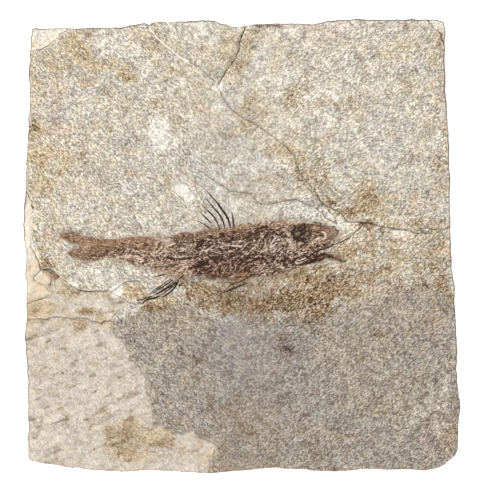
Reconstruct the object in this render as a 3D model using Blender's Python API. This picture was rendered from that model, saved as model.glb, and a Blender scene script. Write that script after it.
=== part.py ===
"""A fossil fish slab: a split plate of pale limestone with one small fish on its upper bedding plane.

Two pieces are modelled, each as one closed body:

    limestone_slab   the plate, with its broken laminated edge, the two-step spall of its lower left
                     corner, its chips and cracks, and a shallow bed in which the fish lies
    fossil_fish      the flattened fish with its tail, skull, eye socket, jaws and every fin ray

The slab lies flat with its underside on Z = 0 and the fish on top. X runs along the fish from tail to
snout, Y runs from its belly to its back, and the origin is under the middle of the slab. Points are
written in millimetres and turned to metres as the meshes are made.
"""
import math
import random

import bmesh
import bpy
from mathutils import Vector
from mathutils.geometry import delaunay_2d_cdt, intersect_point_line

MM = 0.001

# Driving dimensions, in millimetres.
WIDTH = 160.0                 # the slab along X
DEPTH = 166.0                 # the slab along Y
THICKNESS = 12.0              # underside to the mean bedding plane
EDGE_COLUMNS = 150            # points round the broken edge
EDGE_RAGGEDNESS = 0.22        # how far those points stray from the traced outline
RIM_WEAR = 0.35               # how far the top arris is rubbed back
BEDDING_SPACING = 11.0        # between the points that shape the bedding plane
FLOOR_SPACING = 8.0           # between the points that shape a spall's floor
FLOOR_ROUGHNESS = 0.12        # how uneven such a floor is

UPPER_SPALL_DEPTH = 0.6       # first step of the lower left spall
LOWER_SPALL_DEPTH = 1.0       # second step
CRACK_WIDTH = 0.5
CRACK_DEPTH = 0.5

FIT_GAP = 0.3                 # between the fish and its bed, all round
FISH_THICKNESS = 1.0          # how deep the fish goes below the bedding plane
FISH_RINGS = 104              # cells along the fish
FISH_CELLS_ACROSS = 16
FISH_EDGE_RELIEF = 0.05       # how far the flattened fish stands above the slab at its outline
FISH_BODY_RELIEF = 0.30       # and on its flank
BACKBONE_RELIEF = 0.30        # added along the spine
RAY_RELIEF = 0.35             # crest of a fin ray above the slab
RAY_SINK = 0.6                # how deep a fin ray goes below it

CUTTER_TOP = 3.0              # how far a cutter reaches above the bedding plane
OUTSIDE = 92.0                # a distance from the middle that is clear of the slab

# The slab's outline, clockwise from its top left corner.
OUTLINE = [
    (-77, 79.6), (-53.3, 79.9), (-45.3, 79.8), (-39.1, 81), (-35.4, 81.5), (-33.9, 80.8),
    (-33.2, 81.6), (-29.9, 82.1), (-12.4, 82.5), (-9.9, 82.2), (-3.6, 80.3), (-0.7, 80.2),
    (5.5, 81.4), (19.7, 81.4), (26.6, 81.2), (32.9, 82.6), (38.7, 82.9), (63.5, 82.9),
    (71.5, 82.8), (74.1, 82.1), (75, 78.8), (74.6, 74.5), (74.8, 56.9), (75.6, 46),
    (76.3, 28.5), (76.6, 22.6), (76.3, 16.8), (76.6, 3.6), (77.4, -10.6), (78.3, -15.3),
    (78.1, -21.2), (79.2, -38.7), (78.8, -45.3), (80.3, -59.9), (79.6, -65), (79.6, -73.7),
    (78.5, -76.3), (75.9, -78.5), (73.7, -80.3), (71.2, -81.4), (66.4, -81.8), (57.7, -81.4),
    (43.1, -81.5), (37.2, -82.1), (31.4, -82.2), (17.5, -81.2), (9.5, -81), (4.4, -81.4),
    (-8.8, -82.9), (-13.1, -82.9), (-27.7, -82.1), (-33.6, -81.8), (-43.8, -82.5),
    (-55.5, -81.6), (-70.1, -79.8), (-75.9, -78.8), (-78.1, -77.9), (-78.3, -73.7),
    (-78.5, -62), (-78.5, -48.9), (-79.6, -31.8), (-78.9, -27), (-79.2, -19.7), (-78.8, -15.3),
    (-79.5, -9.5), (-79.2, -3.6), (-80.3, 8), (-79.8, 14.6), (-78.8, 35.8), (-77.7, 57.7),
    (-78, 64.2), (-77.4, 76.6),
]

# The broken edge from the underside up: height, how far it is set back where the edge is undercut,
# how far where it flares outwards, and how much both vary along the edge.
EDGE_STEPS = [
    (0.0, 2.0, 1.2, 0.7),
    (2.6, 1.3, 0.2, 0.5),
    (2.9, 0.6, 0.5, 0.4),
    (5.6, 0.9, 0.0, 0.4),
    (5.9, 1.5, 0.1, 0.5),
    (8.7, 0.7, 0.5, 0.4),
    (9.0, 0.1, 1.1, 0.1),
    (11.5, 0.0, 1.4, 0.0),
]
FLARE_CENTRE = (80.0, -53.0)  # the stretch of the right side where the edge flares
FLARE_REACH = (14.0, 30.0)

# Upper edge of the lower left spall, its right-hand edge, and the ledge that parts its two steps.
SPALL_TOP = [
    (-80.3, 20.4), (-78.5, 19.9), (-76.1, 14.3), (-77.4, 10.2), (-77.5, 4.5), (-77.2, -0.4),
    (-75.8, -2.4), (-74.4, -5.6), (-73.5, -8.8), (-71.6, -8.4), (-69.2, -8.8), (-66.4, -11.5),
    (-62.9, -14.2), (-59.4, -16.1), (-55.2, -16.6), (-49.3, -16.1), (-45.3, -18.2),
    (-40.5, -20.7), (-43.1, -21.9), (-47.0, -25.4),
]
SPALL_LEDGE = [
    (-81, -26.6), (-71.2, -26.6), (-68.1, -25.8), (-65, -26.1), (-62.8, -26.6), (-56.9, -26.2),
    (-54, -27.4), (-51.7, -28.3), (-47.8, -26.9),
]
SPALL_RIGHT = [
    (-47.6, -30.6), (-42.9, -35.8), (-41.8, -39.3), (-37.7, -44.5), (-35.4, -47.4),
    (-34.8, -52.7), (-33, -57.3), (-32.7, -64.2), (-30.1, -64.6), (-26.6, -67.8),
    (-23.1, -68.1), (-18.5, -66.6), (-16.1, -69.3), (-9.2, -72.5), (-11.5, -77.7),
]

# Chips in the bedding plane: depth and outline.
CHIPS = {
    "top_left_corner_chip": (0.8, [
        (-OUTSIDE, 71.3), (-77.3, 71.3), (-73.7, 71.5), (-70.9, 73.2), (-66.8, 77), (-62.8, 79.6),
        (-61.3, OUTSIDE), (-OUTSIDE, OUTSIDE)]),
    "top_right_corner_chip": (0.4, [
        (67.2, OUTSIDE), (67.9, 82.5), (69.9, 79.3), (72.2, 78.1), (73.7, 72.9), (OUTSIDE, 72.6),
        (OUTSIDE, OUTSIDE)]),
    "anal_fin_chip": (0.5, [
        (-48.7, -16.8), (-45, -15), (-42.4, -13), (-38, -12.4), (-36.1, -15), (-34.3, -17.5),
        (-35.6, -19.2), (-36.3, -21.4), (-39.5, -21.3), (-43.1, -19.5)]),
    "white_chip": (0.5, [
        (-24.9, 20.5), (-25.4, 23.4), (-22.6, 23.2), (-20.8, 23.1), (-18.5, 19.9), (-16.4, 17.9),
        (-19.6, 15.6), (-22, 17), (-23.7, 18.8)]),
    "snout_chip": (0.4, [
        (26.9, 13.6), (28.5, 15.2), (30.9, 14.3), (32.6, 12.2), (35.8, 10.1), (38.6, 8.9),
        (40.1, 7.3), (39.4, 5.1), (38.2, 4.6), (37.4, 6.2), (34.7, 8.0), (31.9, 9.4), (30, 10.5),
        (29.5, 12)]),
    "right_chip": (0.6, [
        (52.6, 6.1), (57.4, 6.5), (59.7, 6), (62, 5), (64.8, 4.7), (63.5, 3.6), (61, 2.1),
        (58.4, 1.6), (54.9, 3.1), (53.3, 5.2)]),
}

# Hairline cracks, each pointed at both ends.
CRACKS = {
    "notch_crack": [
        (-34.7, 83.5), (-33.6, 79), (-31.1, 76.1), (-28, 73.4), (-23, 69.1), (-15.4, 65.2),
        (-11.5, 61.3), (-8.6, 59.0)],
    "long_crack": [
        (1.9, 83.5), (1.3, 79.9), (-0.7, 75), (-1.2, 71.9), (-2, 68.8), (-5.7, 64.1), (-8.6, 59.0),
        (-6.9, 53.8), (-4.4, 50.2), (-0.4, 47.1), (4.7, 44.5), (10.6, 40.5), (16.6, 35.6),
        (19.3, 32.5), (21.1, 26.5), (25, 22), (28.5, 16.4), (29.2, 14.4)],
    "back_crack": [
        (-19.1, 36.2), (-13.2, 29.8), (-13.2, 25.8), (-8.7, 23), (-3.8, 19.7), (2.9, 19.2),
        (6.1, 15.4), (9.6, 15.2), (16.6, 16.6), (20.1, 16.8), (27.6, 13.6)],
    "right_crack": [
        (38.4, 8.8), (40.9, 8.4), (43.1, 8.9), (50, 7.3), (54.3, 6.4), (61, 5.5), (64.8, 4.8),
        (68.6, 4.4)],
    "right_edge_crack": [(64.8, 6.5), (70.1, 6.2), (72.5, 5.2), (75.1, 6.6), (80.0, 7.3)],
    "left_edge_crack": [(-79, -21.4), (-74.8, -19.7), (-70.2, -18.7)],
}

# The crack that runs through the gape into the rock; it marks the slab and the fish alike.
MOUTH_CRACK = [
    (20.2, -5.8), (23.3, -4.7), (28.2, -1.6), (31.7, -0.2), (36.2, 1.6), (39.1, 3.3), (41.5, 5.4),
    (43.9, 8.3)]

# The fish from tail to jaws: a point on its back, one on its spine and one on its belly.
FISH_STATIONS = [
    ((-65.9, 4.2), (-59.6, -0.5), (-63.9, -3.3)),
    ((-62.8, 5.4), (-57.7, -0.7), (-61.3, -5.1)),
    ((-57.7, 4.7), (-54.8, -0.8), (-56.2, -5.4)),
    ((-53.3, 2.8), (-51.8, -1.0), (-52.2, -4.7)),
    ((-49.6, 1.9), (-48.9, -1.3), (-48.9, -4.2)),
    ((-45.3, 2.6), (-44.5, -1.6), (-44.5, -5.7)),
    ((-40.5, 3.1), (-39.8, -2.0), (-39.4, -7.5)),
    ((-33.6, 3.5), (-32.9, -2.6), (-32.9, -8.8)),
    ((-27.0, 3.6), (-26.3, -3.1), (-27.0, -10.4)),
    ((-19.7, 5.0), (-19.7, -3.5), (-20.4, -12.8)),
    ((-13.9, 6.3), (-13.5, -3.5), (-13.5, -13.0)),
    ((-7.3, 6.8), (-6.9, -2.9), (-6.6, -13.5)),
    ((-0.7, 7.8), (-0.4, -2.2), (0.4, -14.1)),
    ((4.7, 8.7), (5.5, -1.6), (6.6, -13.4)),
    ((10.2, 9.1), (11.3, -1.5), (12.8, -12.0)),
    ((15.3, 9.5), (16.8, -1.5), (18.6, -10.0)),
    ((21.2, 9.6), (22.3, -1.5), (24.1, -8.4)),
    ((27.0, 8.9), (27.0, -1.3), (29.2, -6.9)),
    ((31.4, 7.9), (29.9, -0.9), (33.6, -6.0)),
    ((34.3, 6.8), (31.4, -0.5), (36.1, -5.8)),
    ((35.6, 5.5), (32.1, -0.4), (37.6, -5.2)),
]
EYE_CENTRE = (21.9, 4.7)
EYE_RADII = (4.0, 3.25)
GILL_CENTRE = (17.5, 0.0)     # the gill cover's hind edge is an arc about this point
GILL_RADIUS = 9.5
SPINE_FROM, SPINE_TO = -55.0, 9.0

# Fin rays: width at the base, then the path from the free tip to a root inside the body.
FIN_RAYS = [
    (0.95, [(-12.8, 20.1), (-11.1, 18.1), (-9.0, 15.7), (-7.3, 13.2), (-5.8, 11.2), (-4.6, 8.4),
            (-4.2, 5.1)]),
    (0.75, [(-13.7, 17.8), (-11.8, 15.7), (-9.7, 13.2), (-8.3, 11.5), (-7.1, 9.4), (-5.8, 5.1)]),
    (0.75, [(-14.8, 15.0), (-12.8, 13.2), (-10.8, 11.2), (-9.3, 9.1), (-7.6, 5.1)]),
    (0.65, [(-15.1, 12.0), (-13.2, 10.3), (-10.8, 8.0), (-9.2, 4.6)]),
    (0.60, [(-17.4, 9.5), (-14.6, 8.4), (-12.2, 6.8), (-10.4, 4.2)]),
    (0.65, [(-3.8, 12.6), (-3.4, 10.8), (-3.1, 8.0), (-2.9, 5.1)]),
    (0.75, [(-35.3, -21.6), (-32.7, -20.3), (-30.7, -19.0), (-28.5, -18.5), (-25.2, -16.7),
            (-23.2, -14.7), (-21.9, -12.8), (-20.4, -9.6)]),
    (0.80, [(-39.5, -20.3), (-37.2, -20.3), (-34.7, -19.3), (-31.4, -18.6), (-28.8, -17.4),
            (-26.1, -15.4), (-23.6, -12.5), (-21.8, -8.9)]),
    (0.75, [(-32.7, -16.9), (-29.4, -15.7), (-26.8, -14.0), (-24.4, -11.9), (-22.9, -8.5)]),
    (0.60, [(-32.7, -12.6), (-29.7, -11.9), (-27.2, -10.6), (-24.6, -8.2)]),
    (0.70, [(-8.3, -17.5), (-6.2, -16.1), (-3.1, -15.3), (0.1, -14.3), (2.5, -12.6), (3.9, -10.5)]),
]
RAY_TIP = 0.55                # a ray's width at its tip, as a share of that at its base

STONE_COLOUR = (0.58, 0.51, 0.44, 1.0)
BONE_COLOUR = (0.20, 0.12, 0.08, 1.0)


def bedding(x, y):
    """Height of the gently waved bedding plane above its mean level, in mm."""
    long_wave = 0.13 * math.sin(0.043 * x + 0.021 * y + 0.6)
    cross_wave = 0.10 * math.sin(0.061 * y - 0.017 * x + 2.1)
    short_wave = 0.05 * math.sin(0.11 * x - 0.07 * y + 4.0)
    return long_wave + cross_wave + short_wave


def smooth(value, low, high):
    """0 below LOW, 1 above HIGH, with an S-shaped rise between."""
    share = min(max((value - low) / (high - low), 0.0), 1.0)
    return share * share * (3.0 - 2.0 * share)


def bump(value, width):
    """A bell of height 1 about 0, down to a third at WIDTH."""
    return math.exp(-(value / width) ** 2)


def resampled(points, count):
    """COUNT points evenly spaced along the closed polygon POINTS."""
    corners = [Vector(point) for point in points]
    corners.append(corners[0])
    reach = [0.0]
    for before, after in zip(corners, corners[1:]):
        reach.append(reach[-1] + (after - before).length)
    places = []
    edge = 0
    for step in range(count):
        target = reach[-1] * step / count
        while reach[edge + 1] < target:
            edge += 1
        share = (target - reach[edge]) / (reach[edge + 1] - reach[edge])
        places.append(corners[edge].lerp(corners[edge + 1], share))
    return places


def fitted(points, width, depth):
    """POINTS moved and scaled so that their box is WIDTH by DEPTH about the origin."""
    xs = [point.x for point in points]
    ys = [point.y for point in points]
    middle = Vector(((min(xs) + max(xs)) / 2, (min(ys) + max(ys)) / 2))
    scale = Vector((width / (max(xs) - min(xs)), depth / (max(ys) - min(ys))))
    return [(point - middle) * scale for point in points]


def inward(point):
    """Unit vector from a point of the edge into the slab: square to its side, diagonal at a corner."""
    across = (2 * point.x / WIDTH) ** 9
    along = (2 * point.y / DEPTH) ** 9
    return -Vector((across, along)).normalized()


def triangulated(outline, spacing, seed):
    """Plan of a closed outline with jittered points inside it: all its points, and its triangles."""
    chance = random.Random(seed)
    points = [Vector(point) for point in outline]
    rim = list(range(len(points)))
    edges = list(zip(points, points[1:] + points[:1]))
    xs = [point.x for point in points]
    ys = [point.y for point in points]
    for row in range(int((max(ys) - min(ys)) / spacing) + 1):
        for column in range(int((max(xs) - min(xs)) / spacing) + 1):
            shift = 0.5 * (row % 2) + chance.uniform(-0.2, 0.2)
            point = Vector((min(xs) + (column + shift) * spacing,
                            min(ys) + (row + chance.uniform(-0.2, 0.2)) * spacing))
            if inside(point, edges) and clearance(point, edges) > spacing * 0.45:
                points.append(point)
    plan, _, faces, _, _, _ = delaunay_2d_cdt(points, [], [rim], 1, 1e-6)
    return plan, faces


def inside(point, edges):
    """Whether a point lies inside the closed polygon made of EDGES."""
    crossings = 0
    for start, end in edges:
        if (start.y > point.y) != (end.y > point.y):
            share = (point.y - start.y) / (end.y - start.y)
            crossings += start.x + share * (end.x - start.x) > point.x
    return crossings % 2 == 1


def clearance(point, edges):
    """Distance from a point to the nearest of EDGES."""
    nearest = math.inf
    for start, end in edges:
        foot, share = intersect_point_line(point, start, end)
        foot = start.lerp(end, min(max(share, 0.0), 1.0))
        nearest = min(nearest, (point - foot).length)
    return nearest


def add_object(name, bm):
    """Turn a bmesh in mm into an object in metres, with its faces pointing outwards."""
    bmesh.ops.scale(bm, vec=(MM, MM, MM), verts=bm.verts)
    bmesh.ops.recalc_face_normals(bm, faces=bm.faces)
    mesh = bpy.data.meshes.new(name)
    bm.to_mesh(mesh)
    bm.free()
    obj = bpy.data.objects.new(name, mesh)
    bpy.context.collection.objects.link(obj)
    return obj


def as_cutter(obj):
    """Keep a shape only as a tool for its neighbours."""
    obj.hide_render = True
    obj.display_type = "WIRE"
    return obj


def boolean(obj, tool, operation):
    modifier = obj.modifiers.new(tool.name, "BOOLEAN")
    modifier.operation = operation
    modifier.solver = "EXACT"
    modifier.object = tool


def add_material(obj, name, colour, roughness):
    material = bpy.data.materials.new(name)
    material.use_nodes = True
    shader = material.node_tree.nodes["Principled BSDF"]
    shader.inputs["Base Color"].default_value = colour
    shader.inputs["Roughness"].default_value = roughness
    shader.inputs["Metallic"].default_value = 0.0
    material.diffuse_color = colour
    obj.data.materials.append(material)


def skin(bm, rings, closed):
    """Bridge equal rings of vertices with quads; CLOSED joins each ring's last point to its first."""
    for ring, following in zip(rings, rings[1:]):
        count = len(ring)
        for index in range(count if closed else count - 1):
            after = (index + 1) % count
            bm.faces.new((ring[index], ring[after], following[after], following[index]))


def edge_rings():
    """Plan points of every ring of the broken edge, underside first, with each point's height."""
    chance = random.Random(11)
    outline = resampled(OUTLINE, EDGE_COLUMNS)
    for point in outline:
        point += inward(point) * chance.uniform(-EDGE_RAGGEDNESS, EDGE_RAGGEDNESS)
    outline = fitted(outline, WIDTH, DEPTH)
    rings = []
    for level, (height, undercut, flare, variation) in enumerate(EDGE_STEPS):
        ring = []
        for index, point in enumerate(outline):
            offset = Vector(FLARE_CENTRE) - point
            flaring = bump(offset.x, FLARE_REACH[0]) * smooth(FLARE_REACH[1] - abs(offset.y), 0, 12)
            turn = 2 * math.pi * index / EDGE_COLUMNS
            wander = math.sin(9 * turn + 1.7 * level) + 0.6 * math.sin(23 * turn + 2.9 * level)
            setback = undercut + (flare - undercut) * flaring + variation * 0.5 * wander
            setback = max(setback + variation * chance.uniform(-0.4, 0.4), 0.0)
            place = point + inward(point) * setback
            lift = 0.35 * math.sin(5 * turn + 0.8 * level) if 0 < level < len(EDGE_STEPS) - 1 else 0
            ring.append(Vector((place.x, place.y, height + lift)))
        rings.append(ring)
    top = []
    for place, point in zip(rings[-1], outline):
        worn = place.xy + inward(point) * RIM_WEAR * chance.uniform(0.5, 1.3)
        top.append(Vector((worn.x, worn.y, THICKNESS + bedding(*worn))))
    rings.append(top)
    return rings


def add_slab():
    """The plate: stacked rings for its edge, a flat underside and a gently waved bedding plane."""
    bm = bmesh.new()
    rings = [[bm.verts.new(point) for point in ring] for ring in edge_rings()]
    skin(bm, rings, closed=True)
    bm.faces.new(rings[0])
    rim = [vert.co.xy for vert in rings[-1]]
    plan, faces = triangulated(rim, BEDDING_SPACING, seed=3)
    top = rings[-1] + [bm.verts.new((x, y, THICKNESS + bedding(x, y))) for x, y in plan[len(rim):]]
    for face in faces:
        bm.faces.new([top[index] for index in face])
    return add_object("limestone_slab", bm)


def add_pit_cutter(name, depth, outline, seed):
    """A cutter for a spall or chip: upright sides and an uneven floor DEPTH below the bedding."""
    chance = random.Random(seed)
    bm = bmesh.new()
    plan, faces = triangulated(outline, FLOOR_SPACING, seed)
    floor = []
    lid = []
    for x, y in plan:
        level = THICKNESS + bedding(x, y)
        drop = depth + chance.uniform(-FLOOR_ROUGHNESS, FLOOR_ROUGHNESS)
        floor.append(bm.verts.new((x, y, level - drop)))
        lid.append(bm.verts.new((x, y, THICKNESS + CUTTER_TOP)))
    for face in faces:
        bm.faces.new([floor[index] for index in face])
        bm.faces.new([lid[index] for index in reversed(face)])
    rim = len(outline)
    skin(bm, [floor[:rim], lid[:rim]], closed=True)
    return as_cutter(add_object(name, bm))


def side_of(path, index):
    """Unit vector to the left of a path at one of its points."""
    before = path[max(index - 1, 0)]
    after = path[min(index + 1, len(path) - 1)]
    heading = (after - before).normalized()
    return Vector((-heading.y, heading.x))


def add_crack_cutter(name, points, width=CRACK_WIDTH, depth=CRACK_DEPTH):
    """A V-shaped cutter along a crack, pointed at both ends, its foot DEPTH below the bedding."""
    path = [Vector(point) for point in points]
    lift = 0.8
    bm = bmesh.new()
    sections = []
    for index in range(1, len(path) - 1):
        place = path[index]
        level = THICKNESS + bedding(*place)
        half = side_of(path, index) * (width / 2) * (depth + lift) / depth
        left = place + half
        right = place - half
        sections.append([bm.verts.new((left.x, left.y, level + lift)),
                         bm.verts.new((right.x, right.y, level + lift)),
                         bm.verts.new((place.x, place.y, level - depth))])
    skin(bm, sections, closed=True)
    for end, section in ((path[0], sections[0]), (path[-1], sections[-1])):
        tip = bm.verts.new((end.x, end.y, THICKNESS + bedding(*end) + lift / 2))
        for index in range(3):
            bm.faces.new((section[index], section[(index + 1) % 3], tip))
    return as_cutter(add_object(name, bm))


def curve_through(points, places):
    """Catmull-Rom curve through POINTS, read at each of PLACES, counted in points from the first."""
    found = []
    last = len(points) - 1
    for place in places:
        start = min(int(place), last - 1)
        share = place - start
        before, here, there, after = (points[min(max(start + step, 0), last)] for step in (-1, 0, 1, 2))
        found.append(0.5 * ((2 * here) + (there - before) * share
                            + (2 * before - 5 * here + 4 * there - after) * share ** 2
                            + (3 * here - before - 3 * there + after) * share ** 3))
    return found


def fish_plan(rings, across):
    """Plan grid of the fish: RINGS + 1 rows from tail to jaws, each from belly to back."""
    places = [index * (len(FISH_STATIONS) - 1) / rings for index in range(rings + 1)]
    lines = [curve_through([Vector(station[line]) for station in FISH_STATIONS], places)
             for line in range(3)]
    rows = []
    for back, spine, belly in zip(*lines):
        row = []
        for index in range(across + 1):
            share = 2 * index / across - 1
            row.append(spine.lerp(back if share > 0 else belly, abs(share)))
        rows.append(row)
    return rows


def border(rows):
    """The points round the rim of a grid, in order."""
    up = [row[-1] for row in rows]
    down = [row[0] for row in reversed(rows)]
    return up + list(reversed(rows[-1][1:-1])) + down + rows[0][1:-1]


def fish_relief(x, y, edge, spine):
    """Height of the flattened fish above the bedding; EDGE and SPINE are distances to them, in mm."""
    flank = FISH_BODY_RELIEF * smooth(edge, 0.0, 1.6)
    tail = smooth(x, SPINE_FROM - 6, SPINE_FROM + 8)
    backbone = BACKBONE_RELIEF * bump(spine, 1.0) * tail * smooth(SPINE_TO - x, 0, 4)
    skull = 0.22 * smooth(x, 8, 16) * smooth(edge, 0.3, 2.5)
    belly = 0.12 * bump(x + 8, 16) * bump(y + 7, 4)
    reach = math.hypot((x - EYE_CENTRE[0]) / EYE_RADII[0], (y - EYE_CENTRE[1]) / EYE_RADII[1])
    socket = 0.30 * bump(reach - 1, 0.28) - 0.20 * bump(reach, 0.75)
    behind = smooth(GILL_CENTRE[0] - x, 0.0, 5.0)
    from_gill = math.hypot(x - GILL_CENTRE[0], y - GILL_CENTRE[1]) - GILL_RADIUS
    gill_cover = 0.28 * bump(from_gill, 0.9) * behind * smooth(edge, 0.5, 2.0)
    return FISH_EDGE_RELIEF + flank + backbone + skull + belly + socket + gill_cover


def add_fish_body():
    """The fish without its rays: a low relief on a grid, upright sides and a flat bottom."""
    rows = fish_plan(FISH_RINGS, FISH_CELLS_ACROSS)
    middle = FISH_CELLS_ACROSS // 2
    bm = bmesh.new()
    grid = []
    for row in rows:
        line = []
        for index, place in enumerate(row):
            edge = min((place - row[0]).length, (place - row[-1]).length)
            spine = (place - row[middle]).length
            level = THICKNESS + bedding(*place)
            line.append(bm.verts.new((*place, level + fish_relief(*place, edge, spine))))
        grid.append(line)
    skin(bm, grid, closed=False)
    rim = border(grid)
    bottom = [bm.verts.new((vert.co.x, vert.co.y, THICKNESS - FISH_THICKNESS)) for vert in rim]
    skin(bm, [rim, bottom], closed=True)
    bm.faces.new(bottom)
    return add_object("fossil_fish", bm)


def add_ray(name, width, points, grow=0.0):
    """A fin ray, a tapering ridge along its path; GROW makes the wider, deeper groove it lies in."""
    path = [Vector(point) for point in points]
    path[0] = path[0] + (path[0] - path[1]).normalized() * grow
    bm = bmesh.new()
    sections = []
    for index, place in enumerate(path):
        share = index / (len(path) - 1)
        half = side_of(path, index) * (width / 2 * (RAY_TIP + (1 - RAY_TIP) * share) + grow)
        level = THICKNESS + bedding(*place)
        crest = level + (CUTTER_TOP if grow else RAY_RELIEF)
        shoulder = level + (CUTTER_TOP - 1.0 if grow else 0.1)
        foot = level - RAY_SINK - grow
        left = place + half
        right = place - half
        section = [(*left, foot), (*left, shoulder), (*place, crest), (*right, shoulder),
                   (*right, foot)]
        sections.append([bm.verts.new(corner) for corner in section])
    skin(bm, sections, closed=True)
    bm.faces.new(sections[0])
    bm.faces.new(sections[-1])
    return as_cutter(add_object(name, bm))


def grown(points, distance):
    """A closed polygon of points moved outwards by DISTANCE."""
    turning = sum(a.cross(b) for a, b in zip(points, points[1:] + points[:1]))
    sign = 1 if turning < 0 else -1
    moved = []
    for index, point in enumerate(points):
        before = points[index - 1]
        after = points[(index + 1) % len(points)]
        heading = (after - before).normalized()
        moved.append(point + Vector((-heading.y, heading.x)) * sign * distance)
    return moved


def add_bed_cutter():
    """The shallow bed that the fish's body lies in: its outline, one gap wider and deeper."""
    outline = grown(border(fish_plan(FISH_RINGS // 2, FISH_CELLS_ACROSS // 2)), FIT_GAP + 0.05)
    bm = bmesh.new()
    floor = [bm.verts.new((*point, THICKNESS - FISH_THICKNESS - FIT_GAP)) for point in outline]
    lid = [bm.verts.new((*point, THICKNESS + CUTTER_TOP)) for point in outline]
    skin(bm, [floor, lid], closed=True)
    bm.faces.new(floor)
    bm.faces.new(lid)
    return as_cutter(add_object("fish_bed", bm))


def cut_spalls(slab):
    corner = (-OUTSIDE, -OUTSIDE)
    inner_ledge = [(x, y - 1.2) for x, y in SPALL_LEDGE[::-1]]
    upper = [(-OUTSIDE, 20.4)] + SPALL_TOP[1:] + inner_ledge[:-1] + [(-OUTSIDE, -28.0)]
    lower = [(-OUTSIDE, -26.6)] + SPALL_LEDGE[1:] + SPALL_RIGHT + [(-12.9, -OUTSIDE), corner]
    boolean(slab, add_pit_cutter("upper_spall", UPPER_SPALL_DEPTH, upper, 5), "DIFFERENCE")
    boolean(slab, add_pit_cutter("lower_spall", LOWER_SPALL_DEPTH, lower, 6), "DIFFERENCE")


def main():
    for obj in list(bpy.data.objects):
        bpy.data.objects.remove(obj)

    slab = add_slab()
    add_material(slab, "split_limestone", STONE_COLOUR, 0.85)
    cut_spalls(slab)
    for seed, (name, (depth, outline)) in enumerate(CHIPS.items(), start=20):
        boolean(slab, add_pit_cutter(name, depth, outline, seed), "DIFFERENCE")
    for name, points in CRACKS.items():
        boolean(slab, add_crack_cutter(name, points), "DIFFERENCE")

    fish = add_fish_body()
    fish.data.shade_smooth()
    fish.data.set_sharp_from_angle(angle=math.radians(40))
    add_material(fish, "fossil_bone", BONE_COLOUR, 0.6)
    boolean(slab, add_bed_cutter(), "DIFFERENCE")
    for number, (width, points) in enumerate(FIN_RAYS, start=1):
        boolean(slab, add_ray(f"ray_groove_{number}", width, points, FIT_GAP), "DIFFERENCE")
        boolean(fish, add_ray(f"fin_ray_{number}", width, points), "UNION")

    mouth_crack = add_crack_cutter("mouth_crack", MOUTH_CRACK)
    boolean(slab, mouth_crack, "DIFFERENCE")
    boolean(fish, mouth_crack, "DIFFERENCE")


main()
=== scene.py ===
"""Fossil fish slab, dressed: split limestone with a flattened fish on its bedding plane.

Three pieces are made, each one closed surface worked out with numpy in millimetres:

    limestone_plate   the slab, with its laminated broken edge, spalls, chips and hairline cracks
    fish_body         the flattened fish with its tail, skull and jaws
    fish_fin_rays     the dorsal, anal and pelvic fin rays

X runs along the fish from tail to snout, Y from its belly to its back, and Z = 0 is the underside.
"""
import math

import bpy
import numpy as np
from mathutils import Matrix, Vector


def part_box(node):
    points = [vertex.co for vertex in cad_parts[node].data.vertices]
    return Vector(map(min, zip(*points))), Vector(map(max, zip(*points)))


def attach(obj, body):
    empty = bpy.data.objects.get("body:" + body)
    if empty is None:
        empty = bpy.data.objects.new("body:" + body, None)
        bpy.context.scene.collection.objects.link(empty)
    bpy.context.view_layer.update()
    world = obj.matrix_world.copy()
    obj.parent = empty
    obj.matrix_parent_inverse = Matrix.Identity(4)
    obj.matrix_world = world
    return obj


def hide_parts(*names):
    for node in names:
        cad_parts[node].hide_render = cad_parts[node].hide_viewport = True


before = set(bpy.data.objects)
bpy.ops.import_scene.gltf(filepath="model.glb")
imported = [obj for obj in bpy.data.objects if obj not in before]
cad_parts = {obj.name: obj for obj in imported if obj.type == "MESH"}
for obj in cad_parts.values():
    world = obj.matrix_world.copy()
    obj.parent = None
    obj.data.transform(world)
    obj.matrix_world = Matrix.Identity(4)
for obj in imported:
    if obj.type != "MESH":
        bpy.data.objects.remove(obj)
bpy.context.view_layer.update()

SLAB_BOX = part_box("limestone_slab")

bl_info = {
    "name": "Fossil Fish Slab",
    "version": (1, 0, 0),
    "blender": (4, 5, 0),
    "location": "3D View > Sidebar > Fossil",
    "description": "Builds a split limestone slab with a small fossil fish",
    "category": "Add Mesh",
}

MM = 0.001

# The slab, in millimetres.
WIDTH = (SLAB_BOX[1].x - SLAB_BOX[0].x) / MM
DEPTH = (SLAB_BOX[1].y - SLAB_BOX[0].y) / MM
THICKNESS = 12.0              # underside to the mean bedding plane
COLUMNS, ROWS = 266, 276      # cells of the bedding plane
EDGE_RAGGEDNESS = 0.22
RIM_WEAR = 0.35               # how far the top arris is rubbed back
SPALL_DEPTHS = (0.6, 1.0)     # the two steps of the lower left spall
SPALL_RISE = 24.0             # degrees that its lumps and streaks lean to the right
CRACK_HALF_WIDTH = 0.28
CRACK_DEPTH = 0.45
CRACK_FADE = 1.6              # how far from a crack its ink goes on
GATHER_REACH = 1.2            # how near a vertex must be to a break to be drawn onto it
OUTSIDE = 92.0                # a distance from the middle that is clear of the slab
FAR = 4.0                     # signed distances are kept within this
EYE_GAMMA = 2.2               # from light to seen brightness

# Noise: the cells before its lattice repeats, and a start that keeps its places above zero.
NOISE_CELLS = 128
NOISE_START = 50 * NOISE_CELLS
# A blot is full within the first share of its half-widths and gone at the second.
BLOT_REACH = (0.4, 1.7)
BLOT_WANDER = 1.6

# Waves of the bedding plane: height in mm, turn per mm along X and along Y, and start.
BEDDING_WAVES = ((0.13, 0.043, 0.021, 0.6), (0.10, -0.017, 0.061, 2.1), (0.05, 0.11, -0.07, 4.0))
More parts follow.
